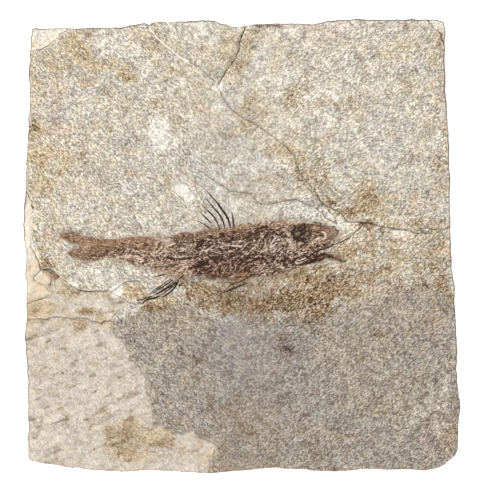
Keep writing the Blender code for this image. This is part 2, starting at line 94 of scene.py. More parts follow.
# Roughness of the rock: height and size in mm, seed, and how many sizes are summed.
ROUGHNESS = ((0.10, 25.0, 70, 3), (0.06, 6.0, 74, 3), (0.045, 1.9, 78, 2))
LUMP_HEIGHT, LUMP_SIZE, LUMP_STRETCH = 0.17, 2.6, 3.0

# The slab's outline, clockwise from its top left corner, and which of its points are corners.
OUTLINE = [
    (-77, 79.6), (-53.3, 79.9), (-45.3, 79.8), (-39.1, 81), (-35.4, 81.5), (-33.9, 80.8), (-33.2, 81.6),
    (-29.9, 82.1), (-12.4, 82.5), (-9.9, 82.2), (-3.6, 80.3), (-0.7, 80.2), (5.5, 81.4), (19.7, 81.4),
    (26.6, 81.2), (32.9, 82.6), (38.7, 82.9), (63.5, 82.9), (71.5, 82.8), (74.1, 82.1), (75, 78.8),
    (74.6, 74.5), (74.8, 56.9), (75.6, 46), (76.3, 28.5), (76.6, 22.6), (76.3, 16.8), (76.6, 3.6),
    (77.4, -10.6), (78.3, -15.3), (78.1, -21.2), (79.2, -38.7), (78.8, -45.3), (80.3, -59.9), (79.6, -65),
    (79.6, -73.7), (78.5, -76.3), (75.9, -78.5), (73.7, -80.3), (71.2, -81.4), (66.4, -81.8),
    (57.7, -81.4), (43.1, -81.5), (37.2, -82.1), (31.4, -82.2), (17.5, -81.2), (9.5, -81), (4.4, -81.4),
    (-8.8, -82.9), (-13.1, -82.9), (-27.7, -82.1), (-33.6, -81.8), (-43.8, -82.5), (-55.5, -81.6),
    (-70.1, -79.8), (-75.9, -78.8), (-78.1, -77.9), (-78.3, -73.7), (-78.5, -62), (-78.5, -48.9),
    (-79.6, -31.8), (-78.9, -27), (-79.2, -19.7), (-78.8, -15.3), (-79.5, -9.5), (-79.2, -3.6),
    (-80.3, 8), (-79.8, 14.6), (-78.8, 35.8), (-77.7, 57.7), (-78, 64.2), (-77.4, 76.6),
]
CORNERS = (0, 19, 37, 56, 72)

# The broken edge: height, set-back where the edge is undercut, set-back where it flares, variation.
EDGE_STEPS = np.array([
    (0.0, 2.0, 1.2, 0.7),
    (2.6, 1.3, 0.2, 0.5),
    (2.9, 0.6, 0.5, 0.4),
    (5.6, 0.9, 0.0, 0.4),
    (5.9, 1.5, 0.1, 0.5),
    (8.7, 0.7, 0.5, 0.4),
    (9.0, 0.1, 1.1, 0.1),
    (11.5, 0.0, 1.4, 0.0),
])
WALL_HEIGHTS = [11.85, 11.5, 10.7, 10.0, 9.45, 9.0, 8.7, 7.8, 6.8, 5.9, 5.6, 4.5, 3.5, 2.9, 2.6, 1.3,
                0.3, 0.0]
ARRIS_HEIGHT = 11.6           # rings above this belong to the worn arris
ARRIS_SHARE = 0.3             # of its wear that they are set back by
LAMINA_LIFT = 0.3             # how far the laminae rise and fall round the slab
LAMINA_HEIGHTS = (0.5, 11.0)  # where they do
WALL_INK = 0.6                # how far a crack's ink goes on down the edge
WALL_WAVES = ((1.0, 9, 1.7), (0.6, 23, 2.9))  # height, waves round the slab, turn for each lamina
FLARE_CENTRE = (80.0, -53.0)
FLARE_REACH = (14.0, 30.0)

# The lower left spall: its upper edge, its right-hand edge, and the ledge between its two steps.
SPALL_TOP = [
    (-84, 20.4), (-78.5, 19.9), (-76.1, 14.3), (-77.4, 10.2), (-77.5, 4.5), (-77.2, -0.4), (-75.8, -2.4),
    (-74.4, -5.6), (-73.5, -8.8), (-71.6, -8.4), (-69.2, -8.8), (-66.4, -11.5), (-62.9, -14.2),
    (-59.4, -16.1), (-55.2, -16.6), (-49.3, -16.1), (-45.3, -18.2), (-40.5, -20.7), (-43.1, -21.9),
    (-47, -25.4), (-47.8, -26.9),
]
SPALL_LEDGE = [
    (-84, -26.6), (-71.2, -26.6), (-68.1, -25.8), (-65, -26.1), (-62.8, -26.6), (-56.9, -26.2),
    (-54, -27.4), (-51.7, -28.3), (-47.8, -26.9),
]
SPALL_RIGHT = [
    (-47.8, -26.9), (-47.6, -30.6), (-42.9, -35.8), (-41.8, -39.3), (-37.7, -44.5), (-35.4, -47.4),
    (-34.8, -52.7), (-33, -57.3), (-32.7, -64.2), (-30.1, -64.6), (-26.6, -67.8), (-23.1, -68.1),
    (-18.5, -66.6), (-16.1, -69.3), (-9.2, -72.5), (-11.5, -77.7), (-13, -86),
]

# Chips in the bedding plane: depth, how dark the line round it is (painted shade in the crease, with some
# dirt), and outline.
CHIPS = [
    (0.8, 0.8, [(-OUTSIDE, 71.3), (-77.3, 71.3), (-73.7, 71.5), (-70.9, 73.2), (-66.8, 77),
                 (-62.8, 79.6), (-61.3, OUTSIDE), (-OUTSIDE, OUTSIDE)]),
    (0.4, 0.9, [(67.2, OUTSIDE), (67.9, 82.5), (69.9, 79.3), (72.2, 78.1), (73.7, 72.9),
                 (OUTSIDE, 72.6), (OUTSIDE, OUTSIDE)]),
    (0.5, 0.75, [(-48.7, -16.8), (-45, -15), (-42.4, -13), (-38, -12.4), (-36.1, -15), (-34.3, -17.5),
                 (-35.6, -19.2), (-36.3, -21.4), (-39.5, -21.3), (-43.1, -19.5)]),
    (0.5, 0.5, [(-24.9, 20.5), (-25.4, 23.4), (-22.6, 23.2), (-20.8, 23.1), (-18.5, 19.9),
                 (-16.4, 17.9), (-19.6, 15.6), (-22, 17), (-23.7, 18.8)]),
    (0.4, 0.9, [(26.9, 13.6), (28.5, 15.2), (30.9, 14.3), (32.6, 12.2), (34, 10.4), (34.7, 8),
                 (31.9, 9.4), (30, 10.5), (29.5, 12)]),
    (0.6, 0.7, [(52.6, 6.1), (57.4, 6.5), (59.7, 6), (62, 5), (64.8, 4.7), (63.5, 3.6), (61, 2.1),
                 (58.4, 1.6), (54.9, 3.1), (53.3, 5.2)]),
    (0.15, 0.15, [(-23.4, 61.4), (-21.6, 60.6), (-20.5, 58.8), (-21.2, 56.9), (-22.7, 59)]),
    (0.2, 0.3, [(-9.5, 58.6), (-7.7, 61.2), (-7, 59.2), (-7.1, 55.3), (-8.4, 57)]),
]

# Patches of whitened rock: strength and outline.
PALE_PATCHES = [
    (0.6, [(-31.6, 47.7), (-33.9, 44.2), (-34.3, 41.8), (-32.9, 37.2), (-31.8, 35),
            (-28.3, 34.7), (-26.2, 37.6), (-27.8, 41), (-26.4, 44), (-27.7, 46.7)]),
    (0.15, [(-27.9, 46.5), (-25.2, 44.9), (-23.7, 43.4), (-22.6, 40.2), (-24.6, 38),
            (-28, 36), (-28.6, 41)]),
    (1, CHIPS[3][2]), (0.55, CHIPS[4][2]), (0.75, CHIPS[5][2]), (0.8, CHIPS[6][2]),
    (1, CHIPS[7][2]), (0.75, CHIPS[0][2]), (0.45, CHIPS[1][2]),
    (1, [(-48.9, -16.4), (-46.7, -14.6), (-43.8, -12.8), (-43.4, -16.1), (-44.2, -18.6),
           (-46, -19.7), (-47.5, -18.6)]),
    (0.25, CHIPS[2][2]),
    (0.9, [(-9.5, 60.6), (-7.7, 61.3), (-6.9, 58.4), (-8, 55.8), (-9.5, 57.7)]),
    (0.6, [(-22.6, 62), (-20.8, 61.7), (-20.4, 59.1), (-21.9, 58.8)]),
    (0.7, [(52.6, 5.1), (54.8, 6.6), (58.4, 6.6), (62.1, 5.5), (63.5, 4), (60.6, 2.9), (56.2, 3.3)]),
    (0.8, [(-77.4, 17.5), (-76.3, 11.3), (-77, 2.9), (-74.5, -2.2), (-72.3, -8), (-73.7, -12.4),
            (-77.4, -16.8), (-79.6, -16.8), (-80.3, 2.2), (-79.6, 13.1)]),
    (0.7, [(-72.3, -9.5), (-69.3, -10.9), (-70.1, -13.9), (-67.2, -16.1), (-70.1, -16.8),
            (-74.5, -14.6), (-75.2, -12.8)]),
    (0.7, [(-66.4, -11.3), (-63.9, -12.8), (-62.4, -15.3), (-65.7, -15.7), (-67.9, -13.9)]),
    (0.5, [(-79.6, -13.9), (-73.7, -13.9), (-69.3, -17.2), (-70.1, -19), (-75.2, -20.1),
            (-79.6, -20.8)]),
    (0.45, [(38.6, 8.9), (41, 7.6), (43.5, 7.4), (42, 5), (40, 3.6), (37.6, 2.6), (36.2, 3.2),
            (36.6, 5.4), (34.6, 8.4), (30.2, 9.4), (28.9, 11.6), (30.8, 12.4), (34, 10.6)]),
]

# The tan strip below the long crack, with a sharp lower edge.
TAN_STRIP = [
    (-2.2, 47.1), (1.5, 45.6), (5.1, 44.2), (9.5, 41.2), (14.2, 38), (16.8, 34.7), (19.7, 31),
    (20.8, 27.4), (20.8, 26.3), (16.1, 29.2), (13.1, 31.8), (9.5, 35.4), (6.2, 38.7), (1.5, 39.4),
    (-0.7, 43.1),
]

# Hairline cracks: how dark each is (below zero, how pale), and its path. The dark is painted shade in the
# crack's groove, with some dirt; the pale is healed lime.
CRACKS = [
    (-1.6, [(-34.7, 83.5), (-33.6, 79), (-31.1, 76.1), (-28, 73.4), (-23, 69.1), (-19.4, 67.2)]),
    (0.5, [(-19.4, 67.2), (-15.4, 65.2), (-11.5, 61.3), (-8.6, 59)]),
    (0.9, [(1.9, 83.5), (1.3, 79.9), (-0.7, 75), (-1.2, 71.9), (-2, 68.8), (-5.7, 64.1), (-8.6, 59)]),
    (0.55, [(-8.6, 59), (-6.9, 53.8), (-4.4, 50.2), (-0.4, 47.1), (4.7, 44.5), (10.6, 40.5), (16.6, 35.6),
        (19.3, 32.5), (21.1, 26.5), (25, 22), (28.5, 16.4), (29.2, 14.4)]),
    (0.25, [(-2.2, 44.2), (-3.4, 40.6), (-5, 37.6), (-6.2, 35)]),
    (0.28, [(-19.1, 36.2), (-15.6, 32.2), (-13.2, 29.8), (-13.2, 25.8)]),
    (0.6, [(-13.2, 25.8), (-8.7, 23), (-3.8, 19.7), (2.9, 19.2), (6.1, 15.4), (9.6, 15.2), (16.6, 16.6),
        (20.1, 16.8), (27.6, 13.6)]),
    (0.8, [(26.6, 20.2), (28.6, 16.8), (30.2, 14.9), (33, 13.6), (36.6, 11.6), (38.4, 8.8)]),
    (0.65, [(38.4, 8.8), (40.9, 8.4), (43.1, 8.9), (50, 7.3), (54.3, 6.4), (61, 5.5), (64.8, 4.8),
        (68.6, 4.4)]),
    (0.55, [(64.8, 6.5), (70.1, 6.2), (72.5, 5.2), (75.1, 6.6), (80, 7.3)]),
    (0.6, [(-79, -21.4), (-74.8, -19.7), (-70.2, -18.7)]),
    (0.3, [(-78.6, -34.4), (-71.9, -32.6), (-66.4, -30)]),
    (0.6, [(-76.3, -11.7), (-73.7, -9.1), (-73.4, -8), (-75.2, -4), (-76.3, -1.5)]),
    (0.5, [(-73.4, -8), (-70.8, -9.1), (-69.3, -11.7), (-70.1, -14.2), (-69, -15.7)]),
    (0.4, [(-69.3, -9.5), (-67.5, -11.7), (-62.8, -16.1), (-59.1, -18.2)]),
    (0.4, [(-76.3, -12.8), (-72.3, -14.6), (-70.4, -16.4)]),
    (0.5, [(-69.4, -65), (-66.1, -64.1), (-64.7, -63.3), (-63.1, -63.2)]),
    (-0.6, [(-20.5, 59), (-20, 54.6), (-19, 49.8)]),
    (-0.5, [(-8.6, 58.4), (-5.6, 54.6), (-3.4, 50.8)]),
    (1, [(20.1, -5.8), (21.9, -5.4), (23.6, -4.5), (24.9, -3.5), (26.1, -2.6), (27.6, -1.8), (29.1, -1.4),
        (31.2, -0.8), (32.9, 0.1), (34.9, 0.9), (37.4, 2), (39.6, 3.2), (41.6, 5.3), (43.1, 6.4),
        (44.2, 8.4)]),
]

# How dark the line of painted shade and dirt is along the spall's upper edge, its ledge and its right-hand
# edge, which faces the light.
LEDGE_SHADE_AND_DIRT = (("top", 0.75), ("ledge", 0.6), ("right", 0.15))

# Upper border of the cool grey lower field.
GREY_BORDER = np.array([
    (-51.8, -25.6), (-47.4, -26.3), (-39.8, -23.7), (-27.4, -20.4), (-15.3, -21.4), (-4.4, -27.4),
    (6.6, -26.7), (18.6, -26.3), (24.8, -27.4), (33.2, -23), (45.6, -19), (57.7, -15.3),
    (69.7, -13.9), (80.3, -16.4),
])

# Soft-edged stains in the rock, from the top down: centre, half-widths, strength.
STAINS = {
    "cool": [
        (-13.5, 46, 4.4, 5.8, 0.4), (-9.9, 31.4, 16.4, 10.9, 0.5), (-55.5, 25.9, 9.1, 5.5, 0.35),
        (1.1, 25.9, 16.4, 9.1, 0.6), (15.7, 25.6, 9.1, 7.3, 0.55), (21.2, 18.2, 5.1, 5.1, 0.5),
        (-0.7, 15, 10.9, 6.6, 0.5), (2.9, -18.2, 14.6, 5.1, 0.55), (7.3, -27, 18.2, 8, 0.6),
        (7.3, -36.1, 20.1, 9.1, 0.8), (10.2, -48.9, 20.1, 10.9, 0.8), (17.5, -59.9, 14.6, 9.1, 0.6),
        (-40.9, -69.3, 5.1, 4.4, 0.4), (15.7, -69.3, 9.1, 5.1, 0.4),
    ],
    "ochre": [
        (4.4, 77, 3.6, 2.6, 0.6), (-43.8, 76.6, 7.3, 5.1, 0.4), (-29.9, 75.9, 2.6, 2.6, 0.5),
        (4.7, 75.9, 4.4, 3.3, 0.5), (7.3, 75.9, 10.9, 6.6, 0.4), (17.5, 75.9, 2.9, 2.9, 0.5),
        (44.2, 75.9, 2.6, 2.2, 0.6), (44.5, 75.6, 3.6, 2.2, 0.7), (-66.4, 75.2, 12.8, 6.6, 0.4),
        (-24.5, 75.2, 10.2, 5.1, 0.45), (-0.7, 75.2, 4.4, 5.8, 0.3), (50.4, 75.2, 16.4, 5.8, 0.45),
        (12.8, 74.5, 2.6, 2.9, 0.6), (-51.8, 73.4, 10.9, 5.1, 0.3), (1.5, 73.4, 3.3, 7.3, 0.75),
        (-61, 72.3, 4.4, 4.4, 0.8), (-5.1, 72.3, 2.6, 8.8, 0.75), (-3.6, 71.5, 2.6, 6.6, 0.7),
        (72.3, 71.5, 6.6, 9.1, 0.45), (-13.5, 68.6, 9.1, 6.6, 0.35), (-66.4, 67.9, 7.3, 5.8, 0.4),
        (-58.4, 67.9, 5.8, 3.3, 0.7), (12.8, 67.2, 2.6, 3.6, 0.7), (-50, 66.1, 6.6, 2.9, 0.8),
        (-0.7, 65.7, 3.6, 4.4, 0.75), (12.4, 65.7, 2.2, 3.3, 0.6), (12, 65, 2.2, 3.3, 0.6),
        (-22.6, 64.2, 2.6, 2.6, 0.6), (-5.1, 64.2, 2.2, 2.9, 0.6), (-41.6, 62.4, 3.3, 3.6, 0.8),
        (-57.3, 62, 7.3, 4.4, 0.4), (-21.9, 61.3, 5.8, 4.4, 0.4), (-7.3, 60.6, 5.1, 4.4, 0.4),
        (-76.3, 56.9, 2.2, 14.6, 0.4), (4.4, 56.2, 3.3, 3.6, 0.5), (17.5, 55.1, 5.1, 4.4, 0.9),
        (4.4, 53.3, 4, 3.3, 0.8), (-42, 52.2, 1.1, 2.2, 0.5), (-31.8, 51.8, 2.9, 2.2, 0.8),
        (16.1, 51.1, 3.6, 2.9, 0.6), (-70.1, 48.9, 6.6, 5.1, 0.35), (0.7, 48.9, 3.3, 3.6, 0.7),
        (4, 48.9, 3.3, 4.4, 0.5), (8, 48.9, 3.3, 3.3, 0.6), (7.3, 44.2, 3.3, 2.9, 0.6),
        (-75.2, 43.1, 2.6, 5.1, 0.8), (1.8, 43.1, 2.9, 2.6, 0.5), (2.2, 43.1, 2.9, 2.9, 0.7),
        (-5.1, 40.5, 4.4, 2.2, 0.5), (5.8, 39.8, 3.3, 2.9, 0.5), (12, 39.8, 3.3, 2.9, 0.7),
        (7.3, 38.3, 3.6, 2.9, 0.6), (10.2, 35.8, 3.6, 3.3, 0.5), (-77.4, 35, 2.6, 14.6, 0.3),
        (-66.4, 35, 21.9, 32.9, 0.15), (15.7, 35, 3.3, 2.9, 0.7), (24.8, 35, 5.1, 5.1, 0.4),
        (-42, 34.3, 2.9, 2.2, 0.5), (20.1, 33.2, 3.6, 3.3, 0.6), (72.3, 32.9, 5.1, 4.4, 0.3),
        (-73.7, 32.1, 3.6, 4.4, 0.8), (14.6, 32.1, 3.6, 3.6, 0.5), (-78.1, 31.4, 5.8, 62, 0.28),
        (21.2, 31.4, 8.8, 5.8, 0.3), (-68.3, 29.6, 4.4, 5.1, 0.5), (27.7, 29.6, 2.9, 4.4, 0.5),
        (18.6, 28.5, 3.6, 3.6, 0.5), (21.2, 27, 4.4, 4.4, 0.5), (23, 27, 3.3, 3.6, 0.7),
        (7.3, 24.1, 3.3, 2.2, 0.4), (22.3, 24.1, 4, 4, 0.5), (8.8, 23.7, 3.3, 2.6, 0.5),
        (-27, 23, 1.5, 2.6, 0.8), (-73, 22.3, 4.7, 4.4, 1), (29.9, 21.9, 3.3, 4.4, 0.6),
        (70.8, 21.9, 2.9, 3.6, 0.5), (72.3, 21.9, 5.1, 8, 0.45), (27, 20.4, 5.1, 3.6, 0.5),
        (32.1, 17.5, 4.4, 2.9, 0.5), (45.6, 17.5, 5.8, 7.3, 0.9), (43.1, 13.9, 3.6, 2.9, 0.8),
        (-77.4, 13.1, 1.8, 10.9, 0.4), (37.6, 12.4, 5.1, 1.8, 0.6), (48.9, 10.9, 4.4, 2.9, 0.7),
        (74.1, 8.8, 2.9, 1.8, 0.5), (53.3, 6.6, 4.4, 2.9, 0.5), (66.4, 6.6, 2.9, 2.9, 0.5),
        (66.8, 2.9, 5.8, 3.3, 0.4), (67.5, 2.9, 5.1, 2.2, 0.5), (36.9, 2.2, 3.3, 3.3, 0.5),
        (70.8, 2.2, 3.3, 4.4, 0.8), (43.1, 1.5, 8.8, 5.1, 0.45), (-75.6, 0.4, 2.9, 2.2, 0.4),
        (37.6, 0.4, 3.6, 3.6, 0.6), (55.8, -1.5, 8.8, 4.4, 0.35), (72.3, -3.6, 7.3, 10.9, 0.5),
        (38.3, -4, 4, 3.6, 0.7), (-73.7, -5.8, 4.4, 4.4, 0.6), (-70.8, -5.8, 4, 3.3, 0.5),
        (41.2, -5.8, 3.6, 2.6, 0.5), (47.4, -5.8, 8, 4.4, 0.5), (-70.1, -6.9, 3.3, 3.3, 0.8),
        (57.7, -6.9, 7.3, 3.6, 0.4), (66.8, -7.3, 8, 5.8, 0.5), (30, -8.5, 6, 2.6, 0.8),
        (51.8, -8.8, 3.6, 2.2, 0.4), (39.4, -9.5, 5.1, 2.2, 0.35), (-70.1, -9.9, 3.3, 3.3, 0.8),
        (20, -10.5, 6, 2.2, 0.8), (32.1, -10.6, 4.4, 2.9, 0.5), (48.5, -10.6, 5.8, 3.6, 0.5),
        (57.7, -10.6, 10.9, 4.4, 0.3), (24.8, -12.4, 5.1, 4.4, 0.6), (24.8, -12.4, 10.9, 8.8, 0.35),
        (-66.4, -13.1, 4.4, 2.9, 0.6), (13.9, -13.1, 18.2, 1.8, 0.4), (-75.2, -13.9, 3.6, 5.1, 0.7),
        (-4.4, -13.9, 14.6, 1.8, 0.4), (65, -14.2, 3.6, 2.2, 0.4), (72.3, -14.2, 3.3, 3.3, 0.9),
        (-57.3, -16.1, 5.1, 2.9, 0.4), (-15.3, -16.1, 5.1, 2.9, 0.9), (37.6, -16.1, 9.1, 4.4, 0.7),
        (44.9, -16.1, 6.6, 2.2, 0.35), (-64.6, -16.8, 6.6, 1.8, 0.7), (-63.5, -16.8, 5.1, 2.9, 0.5),
        (-39.8, -17.2, 4.4, 4.4, 0.9), (-72.3, -18.2, 5.8, 1.8, 0.5), (-9.5, -18.6, 10.9, 5.1, 0.35),
        (19.7, -18.6, 11.7, 5.5, 0.35), (-48.2, -19.7, 5.8, 1.8, 0.35), (-29.9, -19.7, 8, 2.9, 0.5),
        (7.3, -19.7, 7.3, 3.6, 0.5), (17.5, -19.7, 5.8, 5.1, 0.7), (4.7, -20.4, 11.7, 5.8, 0.35),
        (-33.6, -21.5, 5.8, 1.5, 1), (-4.4, -21.5, 5.8, 5.1, 0.7), (-77.4, -21.9, 2.6, 5.8, 0.8),
        (-73.7, -22.6, 4, 3.3, 1), (-66.4, -22.6, 3.6, 3.6, 0.5), (30.7, -22.6, 5.1, 2.6, 0.4),
        (-74.5, -23.4, 4.7, 3.3, 0.5), (24.8, -23.4, 5.1, 3.6, 0.5), (-57.3, -24.1, 3.6, 2.6, 0.9),
        (-57.3, -24.5, 4, 2.6, 0.5), (2.9, -25.6, 8.8, 2.6, 0.4), (-51.8, -27, 2.9, 2.9, 0.6),
        (-66.4, -27.7, 4.4, 2.9, 0.5), (-62, -27.7, 3.6, 3.6, 0.5), (-61, -29.9, 4, 2.6, 0.4),
        (-61, -29.9, 3.6, 2.2, 0.8), (-29.9, -67.9, 6.6, 3.3, 0.4), (-30.7, -69.7, 6.6, 3.6, 0.9),
        (-73, -70.8, 5.8, 10.9, 0.4), (-42, -70.8, 8, 7.3, 0.8), (-37.2, -76.3, 7.3, 3.6, 0.6),
        (-0.7, -78.8, 21.9, 2.9, 0.35),
    ],
    "brown": [
        (8.4, 80.3, 5.1, 1.1, 1), (55.8, 78.8, 3.6, 1.8, 0.25), (4.4, 77.4, 3.3, 1.8, 0.4),
        (-0.7, 75.2, 3.6, 5.1, 0.25), (73, 74.5, 0.9, 2.4, 0.7), (-59.1, 69, 2.2, 2.2, 0.4),
        (-5.1, 67.2, 1.8, 4.4, 0.3), (-1.8, 67.2, 1.8, 7.3, 0.3), (-0.7, 65.7, 1.8, 4, 0.4),
        (-0.7, 62.4, 2.9, 5.1, 0.3), (-41.6, 61.3, 2.6, 2.9, 0.4), (18.2, 55.8, 3.3, 2.9, 0.5),
        (4.4, 55.1, 2.2, 2.9, 0.3), (18.2, 55.1, 4.7, 4, 0.45), (-31.8, 51.1, 2.9, 1.8, 0.4),
        (0.7, 50.4, 1.8, 3.6, 0.4), (2.9, 49.6, 2.9, 3.6, 0.2), (-75.2, 44.2, 1.8, 3.3, 0.6),
        (72.3, 44.2, 2.2, 5.1, 0.2), (1.8, 43.1, 2.6, 2.2, 0.3), (7.3, 42.3, 2.6, 2.2, 0.35),
        (1.5, 41.6, 3.3, 2.2, 0.35), (3.6, 41.6, 4.4, 2.2, 0.35), (8.4, 41.6, 4.4, 2.9, 0.25),
        (5.8, 39.8, 2.9, 2.6, 0.3), (-39.1, 39.4, 2.9, 2.6, 0.25), (-61, 38.7, 4.4, 3.6, 0.25),
        (10.2, 35.8, 3.3, 2.9, 0.3), (-21.9, 33.2, 2.6, 3.3, 0.3), (14.6, 32.1, 3.3, 3.3, 0.3),
        (-57.3, 31.4, 2.6, 2.2, 0.35), (72.3, 31.4, 2.9, 2.9, 0.35), (-74.5, 29.6, 3.6, 3.6, 0.25),
        (23, 29.6, 4.4, 3.6, 0.2), (18.6, 28.5, 3.3, 3.3, 0.3), (21.9, 27.7, 2.9, 2.9, 0.35),
        (-61, 27, 4.4, 2.2, 0.25), (27.7, 27, 3.3, 5.1, 0.3), (22.3, 24.1, 3.6, 3.6, 0.3),
        (28.5, 24.1, 3.6, 5.1, 0.25), (27, 20.4, 4.7, 3.3, 0.3), (32.1, 20.4, 2.9, 2.9, 0.25),
        (32.1, 17.5, 4, 2.6, 0.3), (45.6, 17.5, 5.1, 6.2, 0.4), (32.1, 14.6, 3.6, 1.1, 0.5),
        (42.3, 13.9, 3.6, 2.9, 0.4), (43.8, 13.9, 3.6, 2.9, 0.45), (36.9, 13.1, 5.8, 2.2, 0.5),
        (36.5, 12.8, 2.9, 1.5, 0.55), (57.7, 12.4, 2.9, 1.8, 0.35), (60.6, 12.4, 2.9, 2.2, 0.35),
        (32.9, 11.7, 5.1, 2.9, 0.5), (40.1, 10.2, 2.9, 1.5, 0.6), (74.1, 8.8, 2.9, 1.5, 0.4),
        (65, 7.7, 5.8, 2.9, 0.3), (45.3, 7.3, 3.3, 1.5, 0.6), (51.1, 4.7, 3.3, 1.5, 0.6),
        (42.3, 4, 6.6, 3.3, 0.3), (61.3, 2.9, 7.3, 1.8, 0.3), (-75.6, 2.2, 2.2, 2.2, 0.3),
        (43.1, 2.2, 9.5, 4.4, 0.35), (55.8, 2.2, 2.9, 1.1, 0.5), (70.4, 2.2, 4.4, 1.8, 0.4),
        (68.6, 1.1, 5.1, 2.2, 0.3), (52.2, 0.4, 8.8, 3.6, 0.2), (38, -1.1, 2.6, 1.5, 0.3),
        (32.1, -1.5, 5.8, 3.6, 0.2), (38.3, -3, 4, 3.6, 0.3), (57.7, -3.3, 12.4, 3.6, 0.18),
        (41.2, -3.6, 4.4, 2.2, 0.35), (-77.4, -5.8, 1.1, 3.6, 0.3), (-70.8, -5.8, 2.9, 2.6, 0.6),
        (32.1, -6.9, 3.6, 2.2, 0.35), (69.3, -7.3, 7.3, 5.8, 0.4), (31, -8.5, 6, 2.2, 0.35),
        (29.2, -8.8, 5.8, 1.8, 0.5), (51.8, -8.8, 3.3, 1.8, 0.4), (17.5, -9.5, 5.1, 1.8, 0.4),
        (-69.3, -10.6, 2.9, 2.2, 0.5), (8.4, -10.6, 5.1, 2.2, 0.5), (40.1, -10.9, 5.1, 2.9, 0.5),
        (43.1, -11.7, 4.4, 2.9, 0.5), (-13.5, -12, 5.1, 1.5, 0.5), (15.7, -12, 7.3, 1.8, 0.35),
        (21.2, -12.4, 5.8, 3.6, 0.6), (55.8, -12.4, 3.6, 1.8, 0.3), (-4.4, -13.1, 5.1, 1.5, 0.5),
        (33.6, -13.1, 6.6, 3.3, 0.7), (65.7, -13.1, 6.6, 2.6, 0.4), (-0.7, -13.5, 10.9, 2.2, 0.4),
        (7.3, -13.5, 11.7, 1.8, 0.5), (73.4, -13.5, 4, 2.9, 0.5), (72.3, -13.9, 3.3, 2.9, 0.5),
        (-68.3, -14.2, 4.4, 1.5, 0.4), (-20.8, -14.2, 3.6, 2.9, 0.6), (-0.7, -14.2, 5.1, 2.2, 0.5),
        (27.7, -14.2, 9.5, 8, 0.25), (48.5, -14.2, 4.4, 2.2, 0.45), (65, -14.2, 4.4, 2.2, 0.3),
        (17.5, -14.6, 10.9, 2.2, 0.6), (55.5, -15, 8, 2.6, 0.5), (-15.3, -15.3, 5.8, 2.9, 0.55),
        (-0.7, -15.3, 14.6, 2.2, 0.5), (37.6, -15.3, 6.6, 3.6, 0.65), (-16.8, -16.1, 3.6, 2.9, 0.6),
        (28.5, -16.1, 5.8, 5.1, 0.45), (32.1, -16.1, 18.2, 5.8, 0.2), (44.9, -16.1, 5.8, 2.2, 0.35),
        (-64.6, -16.8, 5.8, 1.1, 0.4), (-39.4, -17.2, 3.6, 3.6, 0.4), (10.2, -17.9, 5.8, 4.4, 0.6),
        (-9.9, -18.2, 4.4, 2.9, 0.8), (-9.5, -18.6, 10.9, 5.1, 0.45), (19.7, -18.6, 11.7, 5.5, 0.5),
        (24.8, -19, 12.8, 5.8, 0.35), (27.7, -19, 6.6, 5.1, 0.8), (35.8, -19, 7.3, 2.9, 0.3),
        (-13.1, -19.3, 7.3, 4.4, 0.7), (-29.9, -19.7, 2.9, 1.5, 0.36), (-4.4, -19.7, 18.2, 5.1, 0.25),
        (2.9, -19.7, 6.6, 3.6, 0.6), (17.5, -20.4, 8, 5.1, 0.8), (-35.4, -20.8, 5.8, 1.1, 0.42),
        (-15.3, -21.2, 5.1, 2.6, 0.5), (7.3, -21.2, 8, 5.1, 0.7), (-2.6, -21.9, 8, 5.1, 0.75),
        (25.6, -22.6, 5.8, 4.4, 0.65), (29.9, -22.6, 5.8, 2.9, 0.5), (-4.4, -23.4, 5.8, 5.1, 0.5),
        (-57.3, -24.1, 3.3, 2.2, 0.6), (5.1, -25.6, 8.8, 2.6, 0.5), (6.6, -25.9, 18.2, 3.3, 0.35),
        (24.8, -26.3, 3.6, 1.8, 0.4), (-61, -29.9, 2.9, 1.5, 0.45), (-39.1, -32.5, 2.9, 3.6, 0.3),
        (29.2, -32.9, 2.9, 2.2, 0.5), (15.7, -36.1, 3.6, 3.6, 0.3), (54, -36.1, 5.1, 3.6, 0.2),
        (-66.4, -38.7, 3.6, 0.7, 0.25), (-23.4, -39.1, 2.9, 1.5, 0.45), (-53.7, -41.6, 4.4, 1.1, 0.2),
        (-15.3, -41.6, 2.9, 1.8, 0.45), (-64.6, -47.4, 5.1, 1.1, 0.3), (-62, -47.4, 5.1, 2.9, 0.3),
        (-42.7, -54.4, 2.2, 1.5, 0.3), (-6.2, -61.7, 12.8, 8, 0.25), (-61, -66.4, 3.6, 1.5, 0.2),
        (-0.7, -67.2, 6.6, 6.6, 0.15), (-33.6, -69, 5.8, 3.3, 0.25), (10.2, -69.3, 10.9, 5.1, 0.25),
        (-31.8, -70.1, 4.4, 2.2, 0.25), (-40.9, -70.8, 7.3, 6.6, 0.35), (-28.1, -74.5, 4.4, 5.1, 0.4),
        (28.5, -74.5, 8.8, 4.4, 0.08),
    ],
    "rust": [
        (40, 12, 1.2, 1, 0.25), (51, 11.2, 1.8, 1, 0.3), (70.5, 8.2, 3, 1, 0.45),
        (-33.7, -6.1, 1.9, 1.8, 0.8), (48, -6.2, 2, 0.8, 0.35), (36.5, -6.6, 3.2, 0.7, 0.45),
        (43.5, -7.2, 4.6, 1, 0.4), (74.6, -19, 2, 2.4, 0.3), (-35, -21.6, 4, 1.4, 0.3),
        (26, -24, 3.5, 1.6, 0.4),
    ],
    "pink": [
        (28.5, 77, 10.9, 4.4, 0.5), (50.4, 77, 7.3, 3.6, 0.3), (-33.6, 71.5, 7.3, 5.5, 0.4),
        (-15.3, 67.9, 5.1, 5.1, 0.25), (72.3, 56.9, 2.9, 7.3, 0.5), (-68.3, 51.5, 3.6, 7.3, 0.6),
        (-15.3, 49.6, 5.1, 2.2, 0.4), (-67.2, 43.1, 3.6, 2.9, 0.7), (72.3, 29.6, 2.9, 5.1, 0.5),
        (66.8, 16.8, 5.8, 5.1, 0.3), (-66.4, 4, 7.3, 2.9, 0.5), (58.4, 4, 5.1, 1.8, 0.6),
